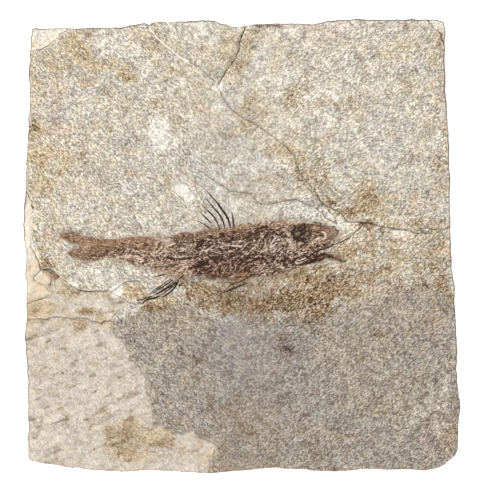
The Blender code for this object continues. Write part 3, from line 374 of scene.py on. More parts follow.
        (-28.1, -14.2, 3.6, 2.9, 0.5), (68.6, -30.7, 7.3, 7.3, 0.3), (-15.3, -59.9, 10.9, 10.9, 0.2),
        (72.3, -67.2, 7.3, 10.9, 0.5), (-4.4, -81.8, 5.8, 2.2, 0.5),
    ],
    "umber": [
        (8.4, 80, 4, 1, 0.9), (-4, 59.5, 0.4, 0.4, 1), (11.7, 29.6, 0.4, 0.4, 1),
        (48.2, 21.9, 0.5, 0.4, 1.2), (31.5, 15, 2, 0.7, 0.4), (73, -13.8, 2.6, 2, 0.15),
        (-45.5, -21, 2, 0.8, 0.5), (-34, -21.5, 5, 1, 0.36), (50.4, -30.7, 5.8, 3.6, 0.3),
        (15.7, -36.1, 4.4, 4.4, 0.45), (-15.3, -41.6, 7.3, 3.6, 0.3), (-65.3, -46.7, 0.45, 0.4, 1.2),
        (-53, -53, 0.5, 0.5, 0.8), (-0.7, -67.2, 7.3, 7.3, 0.25), (28.5, -74.5, 9.1, 4.4, 0.35),
    ],
    "pale": [
        (2.9, 79.6, 10.9, 3.6, 0.4), (-15.3, 78.8, 14.6, 7.3, 0.4), (21.2, 78.1, 16.4, 7.3, 0.4),
        (46.7, 77.7, 14.6, 5.1, 0.5), (-15.3, 75.2, 2.9, 1.8, 0.5), (-9.9, 75.2, 3.6, 1.8, 0.6),
        (-48.2, 74.5, 6.6, 4.4, 0.5), (-36.5, 69.3, 4.4, 4.4, 0.5), (7.3, 69.3, 4.4, 4.4, 0.5),
        (-9.9, 67.9, 10.9, 9.1, 0.3), (39.4, 67.2, 10.9, 7.3, 0.35), (2.9, 62.4, 2.2, 2.2, 0.4),
        (30.3, 62.4, 10.9, 10.9, 0.34), (36.5, 62, 5.1, 4.4, 0.5), (12, 60.6, 12.4, 10.9, 0.34),
        (-23.4, 59.9, 1.8, 1.8, 0.5), (-8, 57.7, 1.5, 2.9, 0.6), (46.7, 56.9, 7.3, 4.4, 0.3),
        (21.9, 54.8, 5.1, 4.4, 0.45), (-32.9, 54.4, 5.1, 4.4, 0.5), (35, 53.3, 1.5, 1.5, 0.7),
        (-9.1, 50.4, 2.9, 1.5, 0.5), (19.3, 50.4, 2.2, 1.5, 0.5), (63.1, 49.6, 7.3, 4.4, 0.2),
        (21.2, 47.8, 14.6, 5.5, 0.3), (-66.4, 46.7, 2.9, 4.4, 0.3), (-19, 44.9, 2.9, 1.8, 0.5),
        (-33.6, 43.8, 2.2, 2.9, 0.35), (31, 43.4, 1.5, 1.1, 0.5), (-29.9, 40.5, 3.6, 2.9, 0.7),
        (7.3, 40.1, 8.8, 4.4, 0.5), (71.5, 38.7, 1.8, 1.8, 0.6), (41.2, 36.9, 5.8, 3.6, 0.3),
        (-27, 35.8, 2.9, 1.8, 0.4), (52.2, 35, 2.9, 4.4, 0.35), (-17.2, 33.2, 2.9, 3.3, 0.35),
        (1.1, 29.6, 8, 4.4, 0.5), (13.9, 29.6, 5.1, 4.4, 0.5), (-9.9, 24.1, 5.1, 3.6, 0.4),
        (35.8, 24.1, 2.2, 1.8, 0.5), (-23.4, 22.6, 1.8, 1.8, 0.8), (-44.5, 22.3, 4.4, 2.9, 0.3),
        (-21.5, 20.8, 2.6, 2.6, 0.9), (22.3, 18.6, 2.6, 2.2, 0.45), (-4.4, 15, 5.8, 4.4, 0.45),
        (21.2, 14.6, 5.1, 2.2, 0.45), (13.9, 12.4, 8.8, 1.8, 0.5), (22.3, 11.3, 4.4, 1.1, 0.6),
        (28.5, 10.2, 3.6, 1.5, 0.5), (-37.2, 7.7, 7.3, 2.2, 0.35), (34.3, 6.2, 2.9, 2.9, 0.7),
        (57.7, 4.7, 3.6, 1.5, 0.7), (40.9, 1.5, 4.4, 2.2, 0.35), (-40.9, -8, 4.4, 2.2, 0.4),
        (-51.8, -10.6, 5.8, 3.6, 0.5), (-62.8, -12.4, 2.2, 2.2, 0.7), (-45.6, -15.7, 1.8, 1.8, 0.5),
        (-50, -21.5, 3.6, 2.2, 0.4), (-64.6, -30.7, 3.6, 1.5, 0.4), (68.6, -58, 9.1, 10.9, 0.35),
        (-73.7, -63.5, 3.6, 5.1, 0.3), (-73, -70.8, 5.8, 10.9, 0.4),
    ],
}

# The fish from tail to jaws: a point on its back, one on its spine and one on its belly.
FISH_STATIONS = np.array([
    ((-65.9, 4.2), (-59.6, -0.5), (-63.9, -3.3)), ((-62.8, 5.4), (-57.7, -0.7), (-61.3, -5.1)),
    ((-57.7, 4.7), (-54.8, -0.8), (-56.2, -5.4)), ((-53.3, 2.8), (-51.8, -1), (-52.2, -4.7)),
    ((-49.6, 1.9), (-48.9, -1.3), (-48.9, -4.2)), ((-45.3, 2.6), (-44.5, -1.6), (-44.5, -5.7)),
    ((-40.5, 3.1), (-39.8, -2), (-39.4, -7.5)), ((-33.6, 3.5), (-32.9, -2.6), (-32.9, -8.8)),
    ((-27, 3.6), (-26.3, -3.1), (-27, -10.4)), ((-19.7, 5), (-19.7, -3.5), (-20.4, -12.8)),
    ((-13.9, 6.3), (-13.5, -3.5), (-13.5, -13)), ((-7.3, 6.8), (-6.9, -2.9), (-6.6, -13.5)),
    ((-0.7, 7.8), (-0.4, -2.2), (0.4, -14.1)), ((4.7, 8.7), (5.5, -1.6), (6.6, -13.4)),
    ((10.2, 9.1), (11.3, -1.5), (12.8, -12)), ((15.3, 9.5), (16.8, -1.5), (18.6, -10)),
    ((21.2, 9.6), (22.3, -1.5), (24.1, -8.4)), ((27, 8.9), (27, -1.3), (29.2, -6.9)),
    ((31.4, 7.9), (29.9, -0.9), (33.6, -6)), ((34.3, 6.8), (31.4, -0.5), (36.1, -5.8)),
    ((35.6, 5.5), (32.1, -0.4), (37.6, -5.2)),
])
FISH_ROWS, FISH_LANES = 600, 120
FISH_MARGIN = 1.2             # how far the piece laps over the rock round the fish
FISH_BED_DEPTH = 1.1          # the bed in the slab under it
FISH_BED_EDGE = 0.7           # the width of the bed's slope
FISH_UNDERSIDE = 11.3
FISH_LIFT = 0.06              # film over rock
FISH_LAP_DIP = 0.16           # how far the lap over the rock sinks at its edge
FISH_TUCK = 0.4               # how far in its lower walls stand
FISH_LIP = 0.02               # the height of its lip
TAIL_SPACING, JAW_SPACING = 2.9, 1.6  # of the stations at either end

# The brown film that is left of the fish: its outline, clockwise from the tail's upper tip.
FILM_OUTLINE = [
    (-66.2, 3.9), (-64.5, 4.5), (-62.8, 5), (-61, 5.1), (-59.3, 4.7), (-58.2, 3.8), (-55.1, 3.4),
    (-53.3, 2.7), (-51.5, 2.2), (-49.6, 2.5), (-46, 2.4), (-43.5, 2.8), (-38.9, 3.4), (-34.2, 3.5),
    (-28.8, 3.4), (-26.1, 3.4), (-24.1, 4), (-21.9, 4.8), (-19, 4.9), (-16.6, 5), (-14.2, 5.7),
    (-12, 6.1), (-9.1, 6.5), (-5.9, 6.6), (-4.4, 6.8), (-2.7, 7.5), (-0.4, 8), (4.3, 8.2), (10.1, 8.8),
    (14.6, 9.5), (16.1, 9.5), (19, 9.2), (21.9, 8.8), (27, 8.4), (28.7, 8), (29.9, 7.4), (31, 7.7),
    (32.3, 7.8), (33.6, 7.3), (35.5, 5.8), (35.1, 4.7), (34.7, 3.6), (33.4, 2.2), (30.7, -0.6),
    (29.1, -1.2), (27.7, -1.8), (31, -2.3), (34.7, -3.9), (37.6, -5.6), (36.1, -5.8), (32.5, -4.4),
    (30.7, -4.7), (26.3, -6), (22.3, -7.2), (18.2, -8.8), (14.2, -10.2), (12, -11), (7.3, -10.9),
    (2.2, -11.8), (-3.6, -12.2), (-6.6, -12), (-12.4, -11.2), (-17.5, -11.4), (-21.5, -11.2),
    (-25.6, -10.1), (-29.6, -8.9), (-34.2, -8), (-38.9, -6.9), (-43.5, -4.9), (-48.2, -4.1), (-50, -4.2),
    (-52.9, -5.1), (-57, -5.2), (-60.4, -4.8), (-62.6, -3.6), (-63.8, -2.5), (-62.6, -1.2), (-59.6, -0.8),
    (-59.4, -0.6), (-59.6, 0.7), (-61.7, 0.8), (-63.5, 1.8), (-65.4, 2.8),
]
EYE_CENTRE = (21.7, 4.7)
EYE_RADII = (4.2, 3.4)
EYEBALL, EYE_RING = (20.3, 4.6), (23.6, 5.0)
GILL_CENTRE = (17.5, 0.0)
GILL_RADIUS = 9.5
TAIL_END = -48.0              # where the tail fin starts
TAIL_RAYS = 6                 # on either side of the spine
PLAIN_TONE = 0.55
# Heights of the relief.
FLANK_HEIGHT, BACKBONE_HEIGHT, SKULL_HEIGHT, GILL_HEIGHT = 0.26, 0.22, 0.18, 0.16
SOCKET_RIM, SOCKET_DEPTH = 0.22, 0.20
BONE_HEIGHT, BARE_HEIGHT, DARK_DEPTH = 0.04, 0.10, 0.07

# Fine bones: the ribs' first and last places and their spacing, their lean in degrees with its spread,
# and their length as a share of the flank.
RIB_PLACES = (-46.0, 12.0, 1.05)
RIB_LEAN = (36.0, 7.0)
RIB_REACH = (0.5, 0.95)
RIB_BEND = (0.0, -0.1, -0.25)
# Threads strewn along the body: their number, places, share of the flank, lengths, and in degrees their
# lean, how much more they lean below the spine, its spread, and how far patches of them swing.
THREADS = 560
THREAD_PLACES = (-38.0, 33.0)
THREAD_FLANK = (-0.96, 0.96)
THREAD_LENGTHS = (1.2, 4.2)
THREAD_LEAN, BELLY_LEAN, LEAN_SPREAD, LEAN_SWING = 14.0, 20.0, 9.0, 45.0
BACK_THREADS = 0.35           # how many are left along the back, as a share
DARK_SHARE = (0.65, 0.66)     # of the ribs and of the threads
BONE_SEED = 170

# Dark bone lines: width, strength, path.
DARK_LINES = [
    (0.6, 0.9, [(9.6, 5.4), (8.1, 2.4), (7, -1.2), (7.7, -4.4), (9.6, -7)]),
    (0.55, 0.8, [(4.7, 5.5), (7, 6.6), (9.5, 7.1)]),
    (0.45, 0.7, [(13, 4.4), (15.4, 3), (16.6, 0.6), (16, -2)]),
    (0.55, 0.7, [(-40.9, -2.4), (-38.3, -3.2), (-35, -4), (-31.8, -4.2), (-28.8, -4.1), (-24.5, -4.6),
        (-21.5, -4.7), (-19, -4.3), (-16.8, -3.8), (-14.2, -2.9), (-10.9, -2.4), (-7.3, -1.5),
        (-3.6, -0.9), (-0.7, -0.4)]),
    (0.6, 0.9, [(-26.3, -4.7), (-23.4, -4.9), (-20.4, -4.6), (-17, -4.2)]),
    (0.45, 0.35, [(-51.5, 0), (-48.2, -0.6), (-43.8, -0.7), (-39.1, -0.3), (-33.6, -0.6), (-29.2, -0.8)]),
    (0.7, 0.9, [(-5.9, -5.5), (-4, -4.2), (-2.2, -3.2), (-0.8, -2.5)]),
    (0.5, 0.8, [(1, -9.2), (2.7, -8.3), (4.3, -6.9)]),
    (0.5, 0.7, [(-5, -8.1), (-3.5, -8.6), (-2.2, -9.7)]),
    (0.5, 0.85, [(10.8, -4.1), (12, -5.1), (13.6, -6.2), (15, -5.4), (16.6, -4.6)]),
    (0.5, 0.7, [(2, 4.7), (3.3, 4.2), (4.7, 4)]),
    (0.8, 0.8, [(5.1, 4.6), (6.2, 6.1), (7.7, 6.8), (9.4, 7)]),
    (0.6, 0.7, [(-16.2, 2.6), (-15.3, 2), (-14.3, 1.5)]),
    (0.5, 0.6, [(-17.9, -7.5), (-16.1, -5.4)]),
    (0.45, 0.9, [(16.2, 10), (17.5, 10.3), (19, 10), (20.8, 9.5), (22.6, 9.1), (24.8, 8.9), (27, 8.7),
        (28.7, 8.1)]),
    (0.4, 0.6, [(22.3, 8.2), (24.5, 8), (27, 7.7), (28.8, 7.2)]),
    (0.5, 0.75, [(29.9, 7.3), (31, 7.8), (32.5, 7.7), (33.9, 6.9), (35.3, 5.9), (34.9, 5.4)]),
    (0.4, 0.5, [(23, 1.1), (25.2, 2), (27.4, 3.3), (29.1, 4.2)]),
    (0.5, 0.8, [(20.4, -7.1), (23.4, -6.4), (26.3, -5.7), (29.2, -4.7), (32.5, -4), (34.7, -5),
        (37.2, -5.5)]),
    (0.7, 0.6, [(24.3, -6.2), (25.6, -5.5), (27, -4.6)]),
    (0.5, 0.7, [(28.5, -3.3), (30.7, -2.9), (32.5, -3.3)]),
    (0.5, 0.8, [(27.4, 0), (27.6, -0.9), (27.9, -1.6)]),
]
# Pale bone lines: width, strength, path.
PALE_LINES = [
    (0.35, 0.6, [(10.3, 4.6), (8.9, 1.8), (7.9, -1.4), (8.7, -4.2), (10.4, -6.2), (13.8, -7)]),
    (0.35, 0.6, [(12, 3), (10.8, 1.2), (11.6, -0.8), (13.6, -1.4), (14.8, 0.2), (14, 2)]),
    (0.45, 0.7, [(15.4, -2.6), (17.4, -4.4), (19.8, -4)]),
    (0.35, 0.5, [(-19, -3.6), (-16.2, -3.5), (-14.2, -2.7)]),
    (0.45, 1, [(-14.8, -1.3), (-13.6, -1.8), (-12, -1.1), (-10.6, -1.2)]),
    (0.45, 0.8, [(-9.7, -0.9), (-7.3, -0.2), (-5.5, 0.4), (-4.1, 0.8)]),
    (0.55, 1, [(-3.6, 0.1), (-1.8, 0.1), (-0.4, -0.2)]),
    (0.4, 0.9, [(-3.4, 1.4), (-1.6, 1.9), (0.2, 1.6), (1.6, 0.8), (0.6, -0.4)]),
    (0.4, 0.6, [(24.7, 0.9), (26.6, 2), (29.1, 3.6)]),
    (0.45, 1.1, [(29.1, 5.1), (30.1, 4.9), (30.6, 4), (30.3, 2.9), (29.2, 2.4)]),
    (0.4, 0.7, [(26.4, 6.8), (27.4, 5.5)]),
    (0.9, 1.6, [(20.1, -6.1), (21.5, -5.5), (23.2, -4.7)]),
    (0.35, 0.6, [(19.7, 8.9), (22.6, 8.5), (25.6, 8.2), (28.5, 7.7)]),
    (0.4, 0.6, [(21.8, -2.8), (23.6, -2.2)]),
    (0.4, 0.6, [(24.1, -0.9), (25.3, -1.4)]),
    (1.3, 0.4, [(15.9, 8.9), (18.6, 9.2)]),
    (0.4, 0.6, [(4.6, 0.2), (6.2, 1.6), (7.4, 3.2)]),
    (0.35, 0.5, [(8.6, -1.6), (9.6, 0.4), (10.2, 2.6)]),
    (0.45, 0.6, [(10.9, -7), (13.6, -8), (16.4, -8.2)]),
    (0.35, 0.6, [(-33.6, -5.4), (-31, -6.4), (-28.6, -6)]),
    (0.4, 0.5, [(-41.6, -2.6), (-38.6, -4), (-36.2, -5.6)]),
]
# Pale dots, most of them vertebrae: centre and radius.
PALE_DOTS = [
    (-38.2, -3.6, 0.35), (-37, -4.7, 0.6), (-34.9, -3.6, 0.38), (-32.1, -3.5, 0.38), (-27.7, -3.3, 0.4),
    (-24.2, -3.9, 0.42), (-21.6, -3.8, 0.42), (13.4, 2.3, 0.6), (11.9, -2, 0.45), (18.2, 0.3, 0.5),
    (31.6, 2, 0.4), (4.5, 1.9, 0.5),
]
# Tone of the film: centre, half-widths, and how much darker (or, below zero, paler) it is.
FILM_TONES = [
    (12, 2.2, 5, 5, 0.06), (-2, -3, 18, 5, -0.04), (-33.6, 0, 9, 2.2, -0.12), (12, -1.5, 5, 4, 0.07),
    (-46.5, -3.2, 3, 1.2, -0.1), (-4.2, 2.6, 3.4, 1.8, -0.1), (-4.4, -7.4, 3, 2, -0.08),
    (17.2, 0.6, 3.4, 2.4, -0.08), (22.3, -1.4, 2.6, 1.4, -0.08), (-48.2, 2, 3, 1.6, 0.1),
    (-37.2, -3, 3.4, 1.6, -0.08), (-30.7, -1.4, 3, 1.6, -0.14), (-20.8, 0.8, 3, 1.8, 0.14),
    (-14, -8, 4, 2.4, 0.16), (1.1, -6.2, 4, 2.2, 0.1), (9.5, 4.8, 4, 1.6, 0.08),
    (12, 0.2, 2.6, 1.8, -0.12), (12.2, -4.4, 3.4, 2, 0.22), (17.2, 0.8, 3, 2.2, -0.16),
    (17.6, -3.8, 3, 1.8, 0.12), (23, -6, 4, 1.6, 0.12), (26.6, 3, 2, 2, -0.08), (30.6, -4.4, 3, 1.2, 0.1),
    (33.6, 4.6, 2, 2, -0.1), (-58, 0, 8, 6, -0.16), (-43, 1.4, 12, 1.9, -0.08), (-26, -0.6, 6, 2.2, -0.1),
    (-24, 2.6, 7, 1.4, 0.1), (-35.5, -4, 6, 2.4, -0.2), (-28, -4, 4, 3, -0.06), (-31, -9, 5, 1.8, -0.2),
    (-26.3, -6.2, 3, 2, 0.1), (-20.8, -8, 3, 3.2, -0.36), (-14, 0.8, 5, 2.2, 0.28),
    (-14.4, -7.6, 4.4, 2.4, 0.28), (-9.5, -10.5, 4.5, 2, 0.2), (-4, -5, 14, 4.4, 0.18),
    (-9.9, -3.6, 3.4, 2.2, 0.08), (-4.4, 2.4, 3.4, 2, 0.3), (-4.4, 7.2, 5, 1.1, -0.22),
    (1.1, -6.4, 3, 2, 0.08), (1.5, -10.6, 3.6, 1.4, -0.08), (6.6, -0.6, 2.8, 2.4, -0.2),
    (6.2, -5, 3.6, 2.2, 0.2), (6.8, -9.6, 3.6, 1.8, -0.16), (5.5, 4, 9, 2, 0.14),
    (12.5, 0.8, 3.6, 3, -0.12), (17, 9, 6, 1, -0.16), (22, -1.5, 4, 2.2, 0.14),
    (26.6, 2.9, 2.4, 2, -0.12), (24.5, -5, 6, 1.6, 0.22), (31.6, 4.4, 3, 2.8, 0.04),
    (-24, -9.8, 5, 1.6, -0.1), (-59.5, 5.2, 3, 0.8, -0.15),
]
# Where the film is purplish.
PLUM_BLOTS = [
    (-13.5, -7.5, 8, 3.2, 0.8), (25, -4.8, 7, 1.6, 0.8), (33, 4.6, 2.8, 2.6, 0.8),
    (-43, 1.2, 9, 1.8, 0.5), (-1, -5, 10, 4.5, 0.5), (8.2, -3.8, 3, 2.4, 0.9), (-31, -3.6, 6, 0.9, 0.6),
    (12, 6, 4, 2, 0.4), (-16, 1.8, 2.5, 1.2, 0.6),
]
# Where bones make a busy network.
BONE_BLOTS = [
    (-8, -3, 16, 6.5, 1), (12, -2, 12, 8.5, 1), (24, -1, 7, 5, 0.7), (-30, -4.5, 10, 3, 0.7),
    (-42, -4, 9, 2.4, 0.5), (9, 6, 5, 2.6, 0.7),
]
# Dark marks of the eye: centre and radius.
EYE_MARKS = [
    (21.7, 7.0, 0.9), (22.4, 2.5, 1.0), (22.3, 5.2, 0.9), (20.3, 2.9, 0.7), (24.3, 2.6, 0.6),
]
# Where the film of the snout is thin: centre and half-widths.
THIN_SNOUT = (33.2, 5.2, 3.0, 3.4)
# Where a flake of the film is lost.
FLAKE = [(-33.8, 3.0), (-29.9, 3.3), (-25.6, 2.9), (-25.3, 2.1), (-27.2, 1.1), (-28.2, 0.4),
         (-29.1, 1.4), (-31.0, 2.3)]

# Fin rays: width, darkness, path from the free tip to the root.
FIN_RAYS = [
    (0.8, 1, [(-12.8, 20.1), (-11.1, 18.1), (-9, 15.7), (-7.3, 13.2), (-5.8, 11.2), (-4.6, 8.4),
        (-4.2, 6.1)]),
    (0.66, 0.95, [(-13.7, 17.8), (-11.8, 15.7), (-9.7, 13.2), (-8.3, 11.5), (-7.1, 9.4), (-6, 5.6)]),
    (0.58, 0.9, [(-14.8, 15), (-12.8, 13.2), (-10.8, 11.2), (-9.3, 9.1), (-7.8, 5.6)]),
    (0.56, 0.8, [(-15.1, 12), (-13.2, 10.3), (-11.2, 8.4)]),
    (0.42, 0.6, [(-17.4, 9.5), (-14.6, 8.4), (-12.2, 6.8), (-10.8, 5.4)]),
    (0.58, 0.95, [(-3.8, 12.6), (-3.4, 10.8), (-3.1, 8), (-2.9, 6.4)]),
    (0.5, 0.85, [(-33.8, -17.8), (-31.9, -16.8), (-28.9, -14.9), (-26.5, -13.3), (-25.1, -12.1)]),
    (0.55, 0.85, [(-31.9, -17.7), (-30, -17), (-27.9, -15.8), (-25.8, -14.5), (-24.2, -12.8)]),
    (0.66, 1, [(-29.8, -18.6), (-28.6, -18.4), (-26.8, -17.2), (-25.4, -16.1), (-24, -14.2),
        (-23, -12.3)]),
    (0.5, 0.85, [(-23.2, -15.4), (-22.6, -14.3), (-21.9, -13.3)]),
    (0.6, 0.9, [(-24, -12.8), (-22.2, -11.4), (-20.4, -9.6), (-19.8, -8.4)]),
    (0.66, 0.95, [(-39.2, -21), (-36.2, -20.6), (-34.6, -19.6), (-32, -19), (-30.2, -18.4)]),
    (0.59, 0.6, [(-38.9, -19.9), (-36.6, -19.6), (-34.8, -18.9), (-32.6, -18.3)]),
    (0.4, 0.75, [(-35.8, -18.8), (-32, -16.2), (-28, -13.4), (-25.6, -11.8)]),
    (0.4, 0.75, [(-33.2, -18.6), (-30.4, -16.9), (-27.2, -14.9), (-24.8, -12.7)]),
    (0.42, 0.8, [(-31.2, -18.7), (-28.8, -17.3), (-26.2, -15.5), (-23.6, -13)]),
    (0.52, 0.6, [(-32.7, -11.2), (-30, -10.8), (-27.8, -10.2)]),
    (0.65, 0.85, [(-8.3, -17.6), (-5.6, -16.5), (-2.8, -15.4), (-0.4, -14.4), (2.4, -13.3)]),
    (0.52, 0.6, [(-6.4, -16.4), (-3.6, -13.9), (-0.4, -12.9), (2.5, -11.2), (4.6, -9.4)]),
]
RAY_TIP = 0.35                # a ray's width at its tip, as a share of that at its middle
RAY_KEEL = 0.6                # how far a ray's keel goes down, in half-widths
RAY_HEIGHT = 0.85             # how far its top stands up, in half-widths
RAY_SINK = 0.02
RAY_JOINTS = 30               # dark and pale joints along a ray
RAY_SWELLS, RAY_SWELL = 22, 0.22  # how often and how far its width swells along it
RAY_ENDS = 18                 # its ends are rounded over one part in this of its length
ROOT_TAPER = 0.35             # how much narrower it is at its root
RAY_STEPS, RAY_SIDES = 60, 8

# The stage, in metres: the floor's disc, the lamps' places, sizes and watts, and the camera.
FLOOR_RADIUS, FLOOR_SIDES, FLOOR_GAP = 3.0, 64, 0.0002
LAMPS = (
    ("panel_overhead", (0.15, -0.25, 1.5), 0.9, 9.5),
    ("panel_left", (-0.85, 0.9, 0.85), 0.35, 18.0),
)
SKY_STRENGTH = 0.38
SENSOR_WIDTH = 36.0           # in millimetres
VIEW_CENTRE = (0.00292, -0.00146)


def linear(code):
    """Linear RGBA of a colour written as six sRGB hex digits."""
    channels = [int(code[start:start + 2], 16) / 255 for start in (0, 2, 4)]
    return tuple(c / 12.92 if c <= 0.04045 else ((c + 0.055) / 1.055) ** 2.4 for c in channels) + (1.0,)


def colour_property(name, description, code):
    return bpy.props.FloatVectorProperty(name=name, description=description, subtype="COLOR", size=4,
                                         min=0.0, max=1.0, default=linear(code))


class FossilSlabSettings(bpy.types.PropertyGroup):
    """Sizes and colours of the slab."""
    width: bpy.props.FloatProperty(
        name="Width", description="Slab along the fish", subtype="DISTANCE", unit="LENGTH",
        default=WIDTH * MM, min=0.01)
    depth: bpy.props.FloatProperty(
        name="Depth", description="Slab across the fish", subtype="DISTANCE", unit="LENGTH",
        default=DEPTH * MM, min=0.01)
    relief: bpy.props.FloatProperty(
        name="Relief", description="Unevenness of the bedding plane", subtype="FACTOR",
        default=1.0, min=0.0, max=2.0)
    field: colour_property("Upper Field", "Warm pale rock above and beside the fish", "C6BFB3")
    grey: colour_property("Lower Field", "Cool grey rock below the fish", "A49B90")
    spall: colour_property("Fresh Spall", "Cream rock where the top layer has come away", "CFC5B8")
    wall: colour_property("Broken Edge", "Laminated edge of the slab", "BEB29E")


class FossilFishSettings(bpy.types.PropertyGroup):
    """Relief and colours of the fish."""
    relief: bpy.props.FloatProperty(
        name="Relief", description="How far the flattened fish stands up", subtype="FACTOR",
        default=1.0, min=0.0, max=2.0)
    film: colour_property("Film", "Tint of the brown film left by the body", "FFF2E4")
    dark: colour_property("Dark Bone", "Darkest bone and the eye", "33271F")
    pale: colour_property("Pale Bone", "Bare bone and vertebrae", "E2D6C4")


class FossilStageSettings(bpy.types.PropertyGroup):
    """Camera, floor and light."""
    distance: bpy.props.FloatProperty(
        name="Camera Distance", description="Camera above the bedding plane", subtype="DISTANCE",
        unit="LENGTH", default=1.0, min=0.2)
    view_width: bpy.props.FloatProperty(
        name="View Width", description="Width of the view at the bedding plane",
        subtype="DISTANCE", unit="LENGTH", default=0.1825, min=0.05)
    floor: colour_property("Floor", "Plain pale table", "FFFFFF")


def smooth(value, low, high):
    """0 below LOW, 1 above HIGH, with an S-shaped rise between."""
    share = np.clip((value - low) / (high - low), 0.0, 1.0)
    return share * share * (3.0 - 2.0 * share)


def bell(value, width):
    """A bell of height 1 about 0, down to a third at WIDTH."""
    return np.exp(-(value / width) ** 2)


def lattice_noise(x, y, size, seed):
    """Random field from -1 to 1: chance heights on a square lattice of SIZE, joined by S-curves."""
    table = np.random.default_rng(seed).uniform(-1.0, 1.0, (NOISE_CELLS, NOISE_CELLS))
    u = np.asarray(x) / size + NOISE_START
    v = np.asarray(y) / size + NOISE_START
    column = np.floor(u).astype(int)
    row = np.floor(v).astype(int)
    across = smooth(u - column, 0.0, 1.0)
    up = smooth(v - row, 0.0, 1.0)
    here, right = column % NOISE_CELLS, (column + 1) % NOISE_CELLS
    below, above = row % NOISE_CELLS, (row + 1) % NOISE_CELLS
    low = table[below, here] * (1 - across) + table[below, right] * across
    high = table[above, here] * (1 - across) + table[above, right] * across
    return low * (1 - up) + high * up


def fractal(x, y, size, seed, octaves=3):
    """Sum of lattice noises, each half as coarse and half as high as the one before."""
    total = 0.0
    for octave in range(octaves):
        total = total + lattice_noise(x, y, size / 2 ** octave, seed + octave) / 2 ** octave
    return total


def along(points, places):
    """Points of a polyline at PLACES, shares of its length from 0 to 1."""
    points = np.asarray(points, float)
    reach = np.concatenate([[0.0], np.cumsum(np.hypot(*np.diff(points, axis=0).T))])
    return np.stack([np.interp(places * reach[-1], reach, points[:, k]) for k in (0, 1)], axis=1)


def fractured(points, seed, jitter=0.22, step=0.9):
    """A break line: POINTS cut into steps of about STEP mm, each moved sideways by coarse noise."""
    points = np.asarray(points, float)
    length = np.hypot(*np.diff(points, axis=0).T).sum()
    count = max(int(length / step), 2)
    places = np.linspace(0.0, 1.0, count + 1)
    line = along(points, places)
    shift = np.random.default_rng(seed).normal(0.0, jitter, line.shape)
    shift *= np.minimum(1.0, np.minimum(places, 1 - places) * count)[:, None]
    return line + shift


def curve_through(points, places):
    """Catmull-Rom curve through POINTS, read at PLACES counted in points; straight beyond its ends."""
    points = np.asarray(points, float)
    last = len(points) - 1
    inner = np.clip(places, 0.0, last)
    start = np.minimum(inner.astype(int), last - 1)
    share = (inner - start)[:, None]
    before, here, there, after = (points[np.clip(start + step, 0, last)] for step in (-1, 0, 1, 2))
    curve = 0.5 * (2 * here + (there - before) * share
                   + (2 * before - 5 * here + 4 * there - after) * share ** 2
                   + (3 * here - before - 3 * there + after) * share ** 3)
    beyond = (places - inner)[:, None]
    ends = np.where(beyond < 0, points[1] - points[0], points[-1] - points[-2])
    return curve + beyond * ends


def nearest_on_path(x, y, path, reach):
    """Distance to a path, which side of it (left +1, right -1) and the nearest point on it.

    Each straight piece is tried on the points in its own window, and points further than REACH
    keep REACH and their own place."""
    distance = np.full(x.shape, float(reach))
    side = np.ones(x.shape)
    foot = np.stack([x, y]).astype(float)
    for start, end in zip(path[:-1], path[1:]):
        low = np.minimum(start, end) - reach
        high = np.maximum(start, end) + reach
        near = np.flatnonzero((x > low[0]) & (x < high[0]) & (y > low[1]) & (y < high[1]))
        run = end - start
        square = run @ run
        if near.size == 0 or square == 0.0:
            continue
        gap_x = x[near] - start[0]
        gap_y = y[near] - start[1]
        share = np.clip((gap_x * run[0] + gap_y * run[1]) / square, 0.0, 1.0)
        away_x = gap_x - share * run[0]
        away_y = gap_y - share * run[1]
        length = np.hypot(away_x, away_y)
        closer = length < distance[near]
        picked = near[closer]
        distance[picked] = length[closer]
        side[picked] = np.where(run[0] * gap_y - run[1] * gap_x >= 0, 1.0, -1.0)[closer]
        foot[0, picked] = (x[near] - away_x)[closer]
        foot[1, picked] = (y[near] - away_y)[closer]
    return distance, side, foot


def inside(x, y, polygon):
    """Whether points lie in a closed polygon: an odd number of its sides lies to their right."""
    odd = np.zeros(x.shape, bool)
    polygon = np.asarray(polygon, float)
    for (ax, ay), (bx, by) in zip(polygon, np.roll(polygon, -1, axis=0)):
        if ay != by:
            odd ^= ((ay > y) != (by > y)) & (x < ax + (y - ay) * (bx - ax) / (by - ay))
    return odd


def depth_inside(x, y, border, closing=(), reach=FAR):
    """Signed distance in mm to BORDER, above zero inside the polygon that CLOSING completes."""
    polygon = list(border) + list(closing)
    line = np.asarray(border if closing else polygon + polygon[:1], float)
    distance, _, _ = nearest_on_path(x, y, line, reach)
    return np.where(inside(x, y, polygon), distance, -distance)


def ellipse_reach(x, y, centre_x, centre_y, half_x, half_y):
    """Distance from a centre as a share of the ellipse's half-widths: 1 on the ellipse."""
    return np.hypot((x - centre_x) / half_x, (y - centre_y) / half_y)


def blots(x, y, table):
    """Largest of a table of soft ellipses, whose edges wander with noise of 7 and 3.5 mm."""
    x = x + BLOT_WANDER * fractal(x, y, 7.0, 40, 2)
    y = y + BLOT_WANDER * fractal(x, y, 7.0, 50, 2)
    full, gone = BLOT_REACH
    most = np.zeros(x.shape)
    for *ellipse, strength in table:
        reach = ellipse_reach(x, y, *ellipse)
        most = np.maximum(most, strength * smooth(gone - reach, 0.0, gone - full))
    return most


def soft_patch(x, y, border, ragged, softness, size=1.6, seed=62, octaves=2):
    """1 inside a closed border and 0 outside, softly, with the edge moved RAGGED mm by noise."""
    within = depth_inside(x, y, border) + ragged * fractal(x, y, size, seed, octaves)
    return smooth(within, -softness, softness)


def bedding(x, y):
    """Height of the gently waved bedding plane above its mean: crossing sine waves, in mm."""
    return sum(height * np.sin(along_x * x + along_y * y + start)
               for height, along_x, along_y, start in BEDDING_WAVES)


